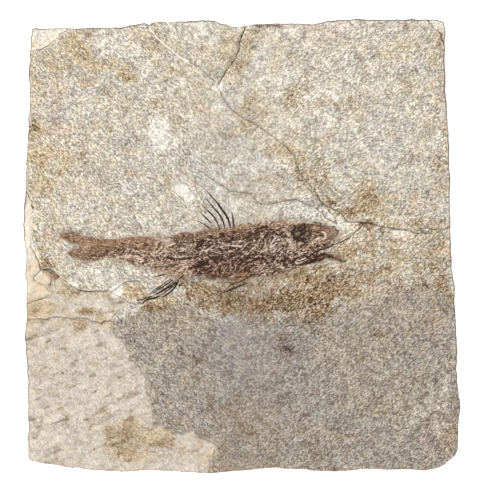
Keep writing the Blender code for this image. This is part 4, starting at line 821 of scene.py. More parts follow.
BREAKS = {
    "top": fractured(SPALL_TOP, 1),
    "ledge": fractured(SPALL_LEDGE, 2),
    "right": fractured(SPALL_RIGHT, 3, 0.3),
    "chips": [fractured(points + points[:1], 10 + index, 0.12, 0.8)[:-1]
              for index, (_, _, points) in enumerate(CHIPS)],
    "cracks": [fractured(points, 30 + index, 0.1, 0.8) for index, (_, points) in enumerate(CRACKS)],
}


def rock_marks(x, y):
    """What the rock shows at points X, Y: signed distances to its breaks in mm, and stains 0 to 1."""
    marks = {}
    for name, start, table in (("spall", "top", SPALL_TOP), ("step", "ledge", SPALL_LEDGE)):
        around = [(SPALL_RIGHT[-1][0], -OUTSIDE), (-OUTSIDE, -OUTSIDE), (-OUTSIDE, table[0][1])]
        marks[name] = depth_inside(x, y, [*BREAKS[start], *BREAKS["right"][1:]], around)
    chip = np.full(x.shape, -FAR)
    chip_depth = np.zeros(x.shape)
    nearest = np.full(x.shape, FAR)
    # How dark the line along a chip or ledge is: painted shade in the crease, with some dirt.
    dirt = np.zeros(x.shape)
    for (depth, darkness, _), border in zip(CHIPS, BREAKS["chips"]):
        within = depth_inside(x, y, list(border))
        chip = np.maximum(chip, within)
        chip_depth = np.maximum(chip_depth, depth * smooth(within, -0.1, 0.35))
        closer = np.abs(within) < nearest
        nearest = np.where(closer, np.abs(within), nearest)
        dirt = np.where(closer, darkness, dirt)
    for name, darkness in LEDGE_SHADE_AND_DIRT:
        distance, _, _ = nearest_on_path(x, y, BREAKS[name], FAR)
        closer = distance < nearest
        nearest = np.where(closer, distance, nearest)
        dirt = np.where(closer, darkness, dirt)
    dirt *= 0.35 + 0.65 * smooth(fractal(x, y, 4.0, 58, 2), -0.55, 0.35)
    crack = np.full(x.shape, FAR)
    ink = np.zeros(x.shape)
    # The ink of a dark crack is painted shade in its groove, with some dirt.
    for (darkness, _), line in zip(CRACKS, BREAKS["cracks"]):
        distance, side, _ = nearest_on_path(x, y, line, FAR)
        closer = distance < np.abs(crack)
        crack = np.where(closer, distance * side, crack)
        ink = np.where(closer, darkness * np.clip(1.25 - distance / CRACK_FADE, 0.0, 1.0), ink)
    white = np.zeros(x.shape)
    for strength, border in PALE_PATCHES:
        white = np.maximum(white, strength * soft_patch(x, y, border, 0.4, 0.25))
    marks.update({name: blots(x, y, table) for name, table in STAINS.items()})
    marks["ochre"] = np.maximum(marks["ochre"], 0.8 * soft_patch(x, y, TAN_STRIP, 0.5, 0.3))
    marks["ochre"] *= 1 - 0.8 * smooth(white, 0.85, 1.0)
    border_height = np.interp(x, GREY_BORDER[:, 0], GREY_BORDER[:, 1])
    wander = 1.8 * fractal(x, y, 6.0, 60)
    spalled = smooth(marks["spall"], -0.1, 0.1)
    marks.update(
        chip=chip, chip_depth=chip_depth, dirt=dirt, crack=crack, ink=ink, white=white,
        grey=smooth(border_height - y + wander, -1.5, 2.0) * (1 - spalled),
    )
    return marks


def edge_dirt(x, y):
    """How dark the line of painted shade round the slab's rim is: none along the bottom, full by the top
    right chip.
    """
    dirt = smooth(y, -78.0, -64.0) * (0.3 + 0.7 * smooth(fractal(x, y, 9.0, 97, 2), -0.6, 0.3))
    return np.maximum(dirt, smooth(x, 66.0, 72.0) * smooth(y, 71.0, 74.0))


def rock_height(x, y, marks, relief):
    """Height of the rock's face in mm: bedding, three sizes of noise, less its steps and grooves."""
    rough = sum(height * fractal(x, y, size, seed, octaves) for height, size, seed, octaves in ROUGHNESS)
    spalled = smooth(marks["spall"], -0.1, 0.25)
    stepped = spalled * smooth(marks["step"], -0.1, 0.25)
    rise = math.radians(SPALL_RISE)
    run = (x * math.cos(rise) + y * math.sin(rise)) / LUMP_STRETCH
    lumps = LUMP_HEIGHT * fractal(run, y * math.cos(rise) - x * math.sin(rise), LUMP_SIZE, 82)
    level = THICKNESS + bedding(x, y) + relief * (rough + lumps * spalled)
    level -= SPALL_DEPTHS[0] * spalled + (SPALL_DEPTHS[1] - SPALL_DEPTHS[0]) * stepped
    groove = np.clip(1.0 - np.abs(marks["crack"]) / CRACK_HALF_WIDTH, 0.0, 1.0)
    open_crack = np.clip(2 * np.abs(marks["ink"]), 0.0, 1.0)
    return level - marks["chip_depth"] - CRACK_DEPTH * groove * open_crack


def inward(points):
    """Unit vectors from the edge into the slab: square to a side and diagonal at a corner."""
    pull = -np.stack([(2 * points[:, 0] / WIDTH) ** 9, (2 * points[:, 1] / DEPTH) ** 9], axis=1)
    return pull / np.maximum(np.hypot(*pull.T), 1e-9)[:, None]


def slab_sides(width, depth):
    """The four sides of the outline from left to right or from bottom to top, fitted to the box."""
    outline = np.array(OUTLINE + OUTLINE[:1], float)
    counts = (COLUMNS, ROWS, COLUMNS, ROWS)
    sides = []
    for first, last, count in zip(CORNERS, CORNERS[1:], counts):
        side = along(outline[first:last + 1], np.linspace(0.0, 1.0, count + 1))
        side += inward(side) * EDGE_RAGGEDNESS * fractal(*side.T, 2.6, 90, 2)[:, None]
        sides.append(side)
    every = np.concatenate(sides)
    middle = (every.min(axis=0) + every.max(axis=0)) / 2
    scale = np.array([width, depth]) / (every.max(axis=0) - every.min(axis=0))
    centre = np.array([SLAB_BOX[0].x + SLAB_BOX[1].x, SLAB_BOX[0].y + SLAB_BOX[1].y]) / 2 / MM
    top, right, bottom, left = ((side - middle) * scale + centre for side in sides)
    return top, right[::-1], bottom[::-1], left


def stretched_grid(top, right, bottom, left):
    """Coons patch: the two blends of opposite sides, less the blend of the four corners."""
    u = np.linspace(0.0, 1.0, len(top))[None, :, None]
    v = np.linspace(0.0, 1.0, len(left))[:, None, None]
    across = left[:, None] * (1 - u) + right[:, None] * u
    upward = bottom[None] * (1 - v) + top[None] * v
    corners = (bottom[0] * (1 - u) + bottom[-1] * u) * (1 - v) + (top[0] * (1 - u) + top[-1] * u) * v
    return across + upward - corners


def gathered(x, y, lines, hold):
    """Draws vertices onto the breaks: s mm from a line becomes s * s / GATHER_REACH where HOLD is 1."""
    nearest = np.full(x.shape, GATHER_REACH)
    foot = np.stack([x, y])
    for line in lines:
        distance, _, place = nearest_on_path(x, y, np.asarray(line), GATHER_REACH)
        closer = distance < nearest
        nearest = np.where(closer, distance, nearest)
        foot = np.where(closer, place, foot)
    pull = hold * (1 - nearest / GATHER_REACH)
    return x + (foot[0] - x) * pull, y + (foot[1] - y) * pull


def ring_of(grid):
    """Vertex numbers round the rim of a grid, anticlockwise from its lower left corner."""
    return np.concatenate([grid[0, :-1], grid[:-1, -1], grid[-1, :0:-1], grid[:0:-1, 0]])


def quads_of(grid):
    """Four-cornered faces of a grid of vertex numbers, anticlockwise."""
    cells = [grid[:-1, :-1], grid[:-1, 1:], grid[1:, 1:], grid[1:, :-1]]
    return np.stack([cell.ravel() for cell in cells], axis=1)


def wall_setback(points, height):
    """How far the broken edge is set back at HEIGHT: its steps, slow waves and rough laminae."""
    level = np.interp(height, EDGE_STEPS[:, 0], np.arange(len(EDGE_STEPS)))
    undercut, flare, variation = (np.interp(height, EDGE_STEPS[:, 0], EDGE_STEPS[:, k])
                                  for k in (1, 2, 3))
    away_x = FLARE_CENTRE[0] - points[:, 0]
    away_y = np.abs(FLARE_CENTRE[1] - points[:, 1])
    flaring = bell(away_x, FLARE_REACH[0]) * smooth(FLARE_REACH[1] - away_y, 0.0, 12.0)
    turn = np.linspace(0.0, 2 * math.pi, len(points), endpoint=False)
    waves = sum(rise * np.sin(count * turn + twist * level) for rise, count, twist in WALL_WAVES)
    rough = fractal(*points.T, 3.5, 100 + int(height * 10), 3)
    setback = undercut + (flare - undercut) * flaring + variation * (0.5 * waves + 0.7 * rough)
    return np.maximum(setback, 0.0)


def make_piece(name, points, quads, caps, marks):
    """A mesh object from points in mm, faces by vertex number and one value per point and mark."""
    mesh = bpy.data.meshes.new(name)
    mesh.vertices.add(len(points))
    mesh.vertices.foreach_set("co", (points * MM).astype(np.float32).ravel())
    sizes = np.array([4] * len(quads) + [len(cap) for cap in caps])
    corners = np.concatenate([quads.ravel(), *caps]).astype(np.int32)
    mesh.loops.add(len(corners))
    mesh.loops.foreach_set("vertex_index", corners)
    mesh.polygons.add(len(sizes))
    starts = np.concatenate([[0], np.cumsum(sizes)[:-1]]).astype(np.int32)
    mesh.polygons.foreach_set("loop_start", starts)
    mesh.update(calc_edges=True)
    if mesh.validate():
        raise RuntimeError(f"{name} has faces that don't hold together")
    for mark, values in marks.items():
        layer = mesh.attributes.new(mark, "FLOAT", "POINT")
        layer.data.foreach_set("value", np.asarray(values, np.float32))
    mesh.shade_smooth()
    mesh.set_sharp_from_angle(angle=math.radians(50))
    piece = bpy.data.objects.new(name, mesh)
    bpy.context.scene.collection.objects.link(piece)
    return piece


def plate_geometry(settings):
    """The plate: a Coons patch for its face, rings of broken edge under its rim, a flat underside."""
    sides = slab_sides(settings.width / MM, settings.depth / MM)
    patch = stretched_grid(*sides)
    numbers = np.arange(patch.shape[0] * patch.shape[1]).reshape(patch.shape[:2])
    rim = ring_of(numbers)
    flat = patch.reshape(-1, 2)
    outline = flat[rim].copy()
    rim_distance, _, _ = nearest_on_path(*flat.T, np.concatenate([outline, outline[:1]]), FAR)
    wear = RIM_WEAR * (0.9 + 0.45 * fractal(*outline.T, 4.0, 95))
    hold = smooth(rim_distance, 0.2, 1.4)
    lines = [BREAKS["top"], BREAKS["ledge"], BREAKS["right"], *BREAKS["cracks"]]
    lines += [np.concatenate([border, border[:1]]) for border in BREAKS["chips"]]
    x, y = gathered(*flat.T, lines, hold)
    x[rim] = outline[:, 0] + inward(outline)[:, 0] * wear
    y[rim] = outline[:, 1] + inward(outline)[:, 1] * wear
    marks = rock_marks(x, y)
    z = rock_height(x, y, marks, settings.relief)
    bed = depth_inside(x, y, list(fish_rim(0.0)))
    z -= FISH_BED_DEPTH * smooth(bed, -FISH_BED_EDGE, 0.0)
    points = [np.stack([x, y, z], axis=1)]
    quads = [quads_of(numbers)]
    upper = rim
    rim_height = z[rim]
    count = len(x)
    for height in WALL_HEIGHTS:
        setback = wall_setback(outline, height)
        if height > ARRIS_HEIGHT:
            setback = wear * ARRIS_SHARE
        ring = outline + inward(outline) * setback[:, None]
        level = height * rim_height / THICKNESS
        if LAMINA_HEIGHTS[0] < height < LAMINA_HEIGHTS[1]:
            lift = LAMINA_LIFT * fractal(*outline.T, 9.0, 110 + int(height * 10))
            level += lift * rim_height / THICKNESS
        points.append(np.column_stack([ring, level]))
        lower = count + np.arange(len(ring))
        quads.append(np.stack([lower, np.roll(lower, -1), np.roll(upper, -1), upper], axis=1))
        upper = lower
        count += len(ring)
    marks = {name: np.concatenate([values, np.tile(values[rim], len(WALL_HEIGHTS))])
             for name, values in marks.items() if name != "chip_depth"}
    marks["ink"][len(x):] *= WALL_INK
    # Painted shade along the rim: none along the bottom, full by the top right chip.
    marks["rim_shade_line"] = np.concatenate([edge_dirt(x, y), np.tile(edge_dirt(*outline.T), len(WALL_HEIGHTS))])
    marks["rim"] = np.concatenate([rim_distance, np.zeros(count - len(x))])
    marks["wall"] = np.concatenate([np.zeros(len(x)), np.ones(count - len(x))])
    return np.concatenate(points), np.concatenate(quads), [upper[::-1]], marks


def fish_grid(margin):
    """Plan grid of the fish from tail to jaws and belly to back, MARGIN mm wider than its stations.

    Each row runs straight from the belly curve to the spine curve and on to the back curve."""
    last = len(FISH_STATIONS) - 1
    places = np.linspace(-margin / TAIL_SPACING, last + margin / JAW_SPACING, FISH_ROWS + 1)
    back, spine, belly = (curve_through(FISH_STATIONS[:, k], places) for k in range(3))
    share = np.linspace(-1.0, 1.0, FISH_LANES + 1)
    arms = np.where((share > 0)[None, :, None], (back - spine)[:, None], (belly - spine)[:, None])
    length = np.maximum(np.hypot(arms[..., 0], arms[..., 1]), 1e-6)
    reach = np.abs(share)[None] * (1 + margin / length)
    return spine[:, None] + arms * reach[..., None], share


def fish_rim(margin):
    """Points round the fish's plan grid, anticlockwise from the tail's lower tip."""
    grid, _ = fish_grid(margin)
    numbers = np.arange(grid.shape[0] * grid.shape[1]).reshape(grid.shape[:2])
    return grid.reshape(-1, 2)[ring_of(numbers.T)]


def drawn(x, y, lines):
    """Strength of a set of drawn lines: full along each path, fading over its width."""
    most = np.zeros(x.shape)
    ragged = 0.12 * fractal(x, y, 0.8, 120, 2)
    for width, strength, path in lines:
        path = np.asarray(path, float)
        low, high = path.min(axis=0) - width - 0.2, path.max(axis=0) + width + 0.2
        near = (x > low[0]) & (x < high[0]) & (y > low[1]) & (y < high[1])
        if near.any():
            distance, _, _ = nearest_on_path(x[near], y[near], path, 2.0)
            line = strength * (1 - smooth(distance + ragged[near], 0.4 * width, 0.85 * width))
            most[near] = np.maximum(most[near], line)
    return most


def flank_bones(seed=BONE_SEED):
    """Fine bones as drawn lines, dark and pale: ribs leaning back from the backbone at about 36 degrees,
    and straight or bent threads strewn by chance, which lean more below the spine."""
    chance = np.random.default_rng(seed)
    back, spine, belly = (FISH_STATIONS[:, k] for k in range(3))
    dark, pale = [], []
    for place in np.arange(*RIB_PLACES):
        middle = np.interp(place, *spine.T)
        for side, border in ((1, np.interp(place, *back.T)), (-1, np.interp(place, *belly.T))):
            lean = math.radians(chance.normal(*RIB_LEAN))
            length = abs(border - middle) * chance.uniform(*RIB_REACH) / math.sin(lean)
            steps = np.array([0.0, 0.5, 1.0]) * length
            bend = lean + np.array(RIB_BEND)
            path = np.stack([place - steps * np.cos(bend), middle + side * steps * np.sin(bend)], axis=1)
            target = dark if chance.random() < DARK_SHARE[0] else pale
            target.append((chance.uniform(0.20, 0.32), chance.uniform(0.25, 0.65), path))
    place = chance.uniform(*THREAD_PLACES, THREADS)
    share = chance.uniform(*THREAD_FLANK, THREADS)
    middle = np.interp(place, *spine.T)
    border = np.where(share > 0, np.interp(place, *back.T), np.interp(place, *belly.T))
    level = middle + (border - middle) * np.abs(share)
    heading = np.radians(THREAD_LEAN + BELLY_LEAN * smooth(-share, -0.2, 0.6)
                         + chance.normal(0.0, LEAN_SPREAD, THREADS)
                         + LEAN_SWING * lattice_noise(place, level, 4.5, seed))
    halves = np.array([[-0.5], [0.0], [0.5]])
    bend = heading + chance.normal(0.0, 0.3, THREADS) * 2 * halves
    steps = chance.uniform(*THREAD_LENGTHS, THREADS) * halves
    paths = np.stack([place + steps * np.cos(bend), level + steps * np.sin(bend)], axis=2)
    along_back = (share > 0.5) & (place < 8.0)
    kept = np.where(along_back, BACK_THREADS, 1.0) > chance.random(THREADS)
    for number in np.flatnonzero(kept):
        target = dark if chance.random() < DARK_SHARE[1] else pale
        target.append((chance.uniform(0.18, 0.30), chance.uniform(0.5, 1.0), paths[:, number]))
    return dark, pale


def dot(x, y, centre_x, centre_y, radius, full, gone):
    """A soft round dot: 1 within FULL of its radius, 0 beyond GONE of it."""
    return 1 - smooth(np.hypot(x - centre_x, y - centre_y), full * radius, gone * radius)


def fish_marks(x, y, share):
    """What the fish shows at points X, Y: film, tone, plum tint, bone network, dark and pale bone."""
    edge = depth_inside(x, y, FILM_OUTLINE)
    # The film ends softly along the belly and the lower jaw, and in rows of scales along the back.
    belly = smooth(-5.0 - y, 0.0, 3.0) * smooth(x, -45.0, -35.0) * smooth(14.0 - x, 0.0, 6.0)
    jaw = smooth(x, 24.0, 29.0) * smooth(-1.6 - y, 0.0, 1.0)
    softness = 0.25 + 1.3 * belly + 1.0 * jaw + 0.25 * smooth(TAIL_END - x, 0.0, 8.0)
    scales = 0.45 * lattice_noise(x, y, 0.75, 131) * smooth(y, 0.0, 3.0) * smooth(x, -30.0, -18.0)
    wander = 0.5 * fractal(x, y, 1.7, 130) * (0.45 + belly + jaw) + scales
    film = smooth(edge + wander, -softness, softness)
    film *= 1 - 0.5 * bell(ellipse_reach(x, y, *THIN_SNOUT), 1.0)
    lost = soft_patch(x, y, FLAKE, 0.2, 0.15, 1.2, 134, 3)
    tone = np.full(x.shape, PLAIN_TONE)
    for *ellipse, amount in FILM_TONES:
        tone += amount * bell(ellipse_reach(x, y, *ellipse), 1.0)
    # The eye: a dark ragged disc with a paler ball and ring.
    reach = ellipse_reach(x, y, *EYE_CENTRE, *EYE_RADII)
    eye = 1 - smooth(reach + 0.16 * fractal(x, y, 1.4, 138), 0.82, 1.08)
    ball = dot(x, y, *EYEBALL, 1.0, 0.4, 1.6)
    ring = dot(x, y, *EYE_RING, 1.0, 0.4, 1.4)
    # Fine bones show a little way in from the film's edge and outside the eye.
    dark_bones, pale_bones = flank_bones()
    shown = smooth(edge - 1.2 * smooth(y, 0.0, 2.0), 0.2, 1.0) * smooth(reach, 1.0, 1.3)
    dark = np.maximum(drawn(x, y, DARK_LINES), drawn(x, y, dark_bones) * shown)
    mottle = 1 + 0.6 * lattice_noise(x, y, 0.6, 139)
    black = 1.2 * eye * (1 - 0.4 * ball) * (1 - 0.5 * ring) * mottle
    for centre_x, centre_y, radius in EYE_MARKS:
        black = np.maximum(black, 0.1 + dot(x, y, centre_x, centre_y, radius, 0.4, 1.3))
    pale = np.maximum(drawn(x, y, PALE_LINES), 0.9 * drawn(x, y, pale_bones) * shown)
    pale *= (1 - 0.75 * eye) * (1 - lost)
    for centre_x, centre_y, radius in PALE_DOTS:
        pale = np.maximum(pale, dot(x, y, centre_x, centre_y, radius, 0.5, 1.2))
    turn = 2 * math.pi * TAIL_RAYS * share + 1.6 * lattice_noise(x, y, 4.0, 142)
    rays = smooth(TAIL_END - x, 0.0, 5.0) * (0.5 + 0.5 * np.cos(turn))
    return {
        "film": film * (1 - lost), "tone": tone, "plum": blots(x, y, PLUM_BLOTS),
        "bone": blots(x, y, BONE_BLOTS), "dark": np.clip(dark + 0.25 * rays * film, 0.0, 1.0) * (1 - lost),
        "bare": pale, "edge": edge, "black": black, "lost": lost,
    }


def fish_relief(x, y, share, marks):
    """Height of the fish above the rock: flank, backbone, skull, eye socket, gill cover and bones."""
    edge = marks["edge"]
    flank = FLANK_HEIGHT * smooth(edge, 0.0, 1.8)
    fading = smooth(x, -61.0, -47.0) * smooth(9.0 - x, 0.0, 4.0)
    backbone = BACKBONE_HEIGHT * bell(share * 8.0, 1.0) * fading
    skull = SKULL_HEIGHT * smooth(x, 8.0, 16.0) * smooth(edge, 0.3, 2.5)
    reach = ellipse_reach(x, y, *EYE_CENTRE, *EYE_RADII)
    socket = SOCKET_RIM * bell(reach - 1, 0.28) - SOCKET_DEPTH * bell(reach, 0.75)
    from_gill = np.hypot(x - GILL_CENTRE[0], y - GILL_CENTRE[1]) - GILL_RADIUS
    gill = GILL_HEIGHT * bell(from_gill, 0.9) * smooth(GILL_CENTRE[0] - x, 0.0, 5.0)
    bones = BONE_HEIGHT * marks["bone"] * fractal(x / 1.6, y, 0.9, 150, 2) * smooth(edge, 0.0, 1.0)
    height = flank + backbone + skull + socket + gill * smooth(edge, 0.5, 2.0) + bones
    height += BARE_HEIGHT * marks["bare"] - DARK_DEPTH * marks["dark"]
    return height * np.where(edge > -0.3, 1.0, 0.0)


def body_geometry(slab, settings):
    """The fish's body: its grid laid on the rock with its relief, and a closed underside."""
    grid, share = fish_grid(FISH_MARGIN)
    shape = grid.shape[:2]
    x, y = grid.reshape(-1, 2).T
    share = np.broadcast_to(share[None], shape).ravel()
    rock = rock_marks(x, y)
    marks = fish_marks(x, y, share)
    z = rock_height(x, y, rock, slab.relief) + FISH_LIFT
    z += settings.relief * fish_relief(x, y, share, marks)
    numbers = np.arange(x.size).reshape(shape)
    rim = ring_of(numbers.T)
    border = grid.reshape(-1, 2)[rim]
    rim_distance, _, _ = nearest_on_path(x, y, np.concatenate([border, border[:1]]), FAR)
    z -= FISH_LAP_DIP * (1 - smooth(rim_distance, 0.0, 0.6))
    points = [np.stack([x, y, z], axis=1)]
    under = fish_rim(-FISH_TUCK)
    points.append(np.column_stack([under, z[rim] - FISH_LIP]))
    points.append(np.column_stack([under, np.full(len(under), FISH_UNDERSIDE)]))
    first = x.size + np.arange(len(rim))
    second = first + len(rim)
    quads = [quads_of(numbers.T)]
    for upper, lower in ((rim, first), (first, second)):
        quads.append(np.stack([lower, np.roll(lower, -1), np.roll(upper, -1), upper], axis=1))
    zero = np.zeros(x.shape)
    rock["pink"] = np.maximum(rock["pink"], 1.2 * marks["lost"])
    every = {**rock, **marks, "rim": zero + FAR, "wall": zero, "rim_shade_line": zero}
    del every["chip_depth"], every["edge"], every["lost"]
    every = {name: np.concatenate([values, values[rim], values[rim]]) for name, values in every.items()}
    return np.concatenate(points), np.concatenate(quads), [second[::-1]], every


def ray_geometry(slab):
    """The fin rays: a half-round section carried along each path, low and tapering at both ends."""
    angle = np.linspace(0.0, math.pi, RAY_SIDES - 1)
    section = np.stack([np.cos(angle), np.sin(angle)], axis=1)
    section = np.concatenate([section, [[0.0, -RAY_KEEL]]])
    places = np.linspace(0.0, 1.0, RAY_STEPS + 1)
    points, quads, caps, marks = [], [], [], []
    count = 0
    for index, (width, darkness, path) in enumerate(FIN_RAYS):
        line = curve_through(path, places * (len(path) - 1))
        heading = np.gradient(line, axis=0)
        heading /= np.hypot(*heading.T)[:, None]
        sideways = np.stack([-heading[:, 1], heading[:, 0]], axis=1)
        swell = RAY_TIP + (1 - RAY_TIP) * smooth(places, 0.0, 0.5)
        swell *= 1 - ROOT_TAPER * smooth(places, 0.7, 1.0)
        row = np.full(places.shape, float(index))
        swell *= 1 + RAY_SWELL * lattice_noise(places * RAY_SWELLS, 3 * row, 1.0, 160)
        ends = np.sqrt(np.clip(np.minimum(places, 1 - places) * RAY_ENDS, 0.02, 1.0))
        half = width / 2 * swell * ends
        across = line[:, None] + sideways[:, None] * (half[:, None] * section[None, :, 0])[..., None]
        x, y = across.reshape(-1, 2).T
        rock = rock_marks(x, y)
        spine_x, spine_y = line.T
        base = rock_height(spine_x, spine_y, rock_marks(spine_x, spine_y), slab.relief)
        z = base[:, None] + (half * RAY_HEIGHT)[:, None] * section[None, :, 1] - RAY_SINK
        points.append(np.column_stack([x, y, z.ravel()]))
        numbers = count + np.arange(x.size).reshape(across.shape[:2])
        numbers = np.concatenate([numbers, numbers[:, :1]], axis=1)
        quads.append(quads_of(numbers.T))
        caps += [numbers[0, :-1], numbers[-1, -2::-1]]
        count += x.size
        joint = 0.75 + 0.35 * lattice_noise(places * RAY_JOINTS, 5 * row, 1.0, 164)
        ink = np.repeat(darkness * joint, RAY_SIDES)
        del rock["chip_depth"]
        zero = np.zeros(x.shape)
        marks.append({**rock, "rim": zero + FAR, "wall": zero, "rim_shade_line": zero, "film": zero + 1,
                      "tone": 0.5 + 0.4 * ink, "plum": zero + 0.2, "bone": zero, "dark": ink,
                      "bare": zero, "black": 0.85 * ink})
    joined = {name: np.concatenate([ray[name] for ray in marks]) for name in marks[0]}
    return np.concatenate(points), np.concatenate(quads), caps, joined


def add_node(tree, kind, settings=None, inputs=None):
    """Adds a node and returns its outputs; an input given a socket is linked, and others are set."""
    node = tree.nodes.new("ShaderNode" + kind)
    for name, value in (settings or {}).items():
        setattr(node, name, value)
    for name, value in (inputs or {}).items():
        if isinstance(value, bpy.types.NodeSocket):
            tree.links.new(value, node.inputs[name])
        else:
            node.inputs[name].default_value = value
    return node.outputs


def set_ramp(colour, stops):
    """Gives the colour ramp of an output its stops, positions with hex colours."""
    elements = colour.node.color_ramp.elements
    while len(elements) < len(stops):
        elements.new(0.5)
    for element, (position, code) in zip(elements, stops):
        element.position = position
        element.color = linear(code)
    return colour


# Settings that several nodes share.
SOFT = {"interpolation_type": "SMOOTHSTEP"}
TURNED = {"vector_type": "TEXTURE"}
BLEND = {"data_type": "RGBA"}
TINT = {"data_type": "RGBA", "blend_type": "MULTIPLY"}
PLUS = {"operation": "ADD"}
MINUS = {"operation": "SUBTRACT"}
TIMES = {"operation": "MULTIPLY"}
TIMES_PLUS = {"operation": "MULTIPLY_ADD"}
CAPPED = {"operation": "MULTIPLY", "use_clamp": True}
UNSIGNED = {"operation": "ABSOLUTE"}

ROCK_MARKS = (*STAINS, "spall", "step", "chip", "dirt", "crack", "ink", "white", "grey", "rim", "rim_shade_line",
              "wall")
FISH_MARKS = ("film", "tone", "plum", "bone", "dark", "bare", "black")

# Each stain in the order it is laid: how it is mixed, its colour and its most.
STAIN_LAYERS = (
    ("cool", TINT, "F2F5FF", 1.0), ("ochre", TINT, "F4EAD5", 1.0), ("brown", TINT, "BDAC9A", 1.0),
    ("rust", TINT, "DDB288", 1.0), ("pink", TINT, "F9E9E3", 1.0), ("umber", TINT, "A4968C", 1.0),
    ("pale", BLEND, "E2DDD1", 0.7),
)
# The rock's hue: lilac grey to straw over 3 mm, the same over 18 mm, and rose to green over 3 mm.
HUE_RAMPS = (
    [(0.3, "FCFCFF"), (0.5, "FFFFFE"), (0.7, "FFFCF5")],
    [(0.35, "FDFDFF"), (0.5, "FFFFFD"), (0.65, "FFFBF4")],
    [(0.35, "FFFCFE"), (0.65, "FDFFFC")],
)
LAMINA_RAMP = [(0.5, "8C8270"), (0.66, "CFC7B8"), (0.78, "F4F0E8"), (0.95, "FFFFFF")]
FILM_RAMP = [(0.0, "36241A"), (0.25, "624B3C"), (0.5, "8D7563"), (0.75, "B8A491"), (1.0, "E6DACA")]
GRAIN_CONTRAST = 0.41
GRAIN_CHANGES = (("brown", 0.3), ("grey", -0.03), ("white", -0.14))
SPALL_GRAIN_CHANGE = -0.24
BUMP_HEIGHT = 0.00025         # of the grain, in metres


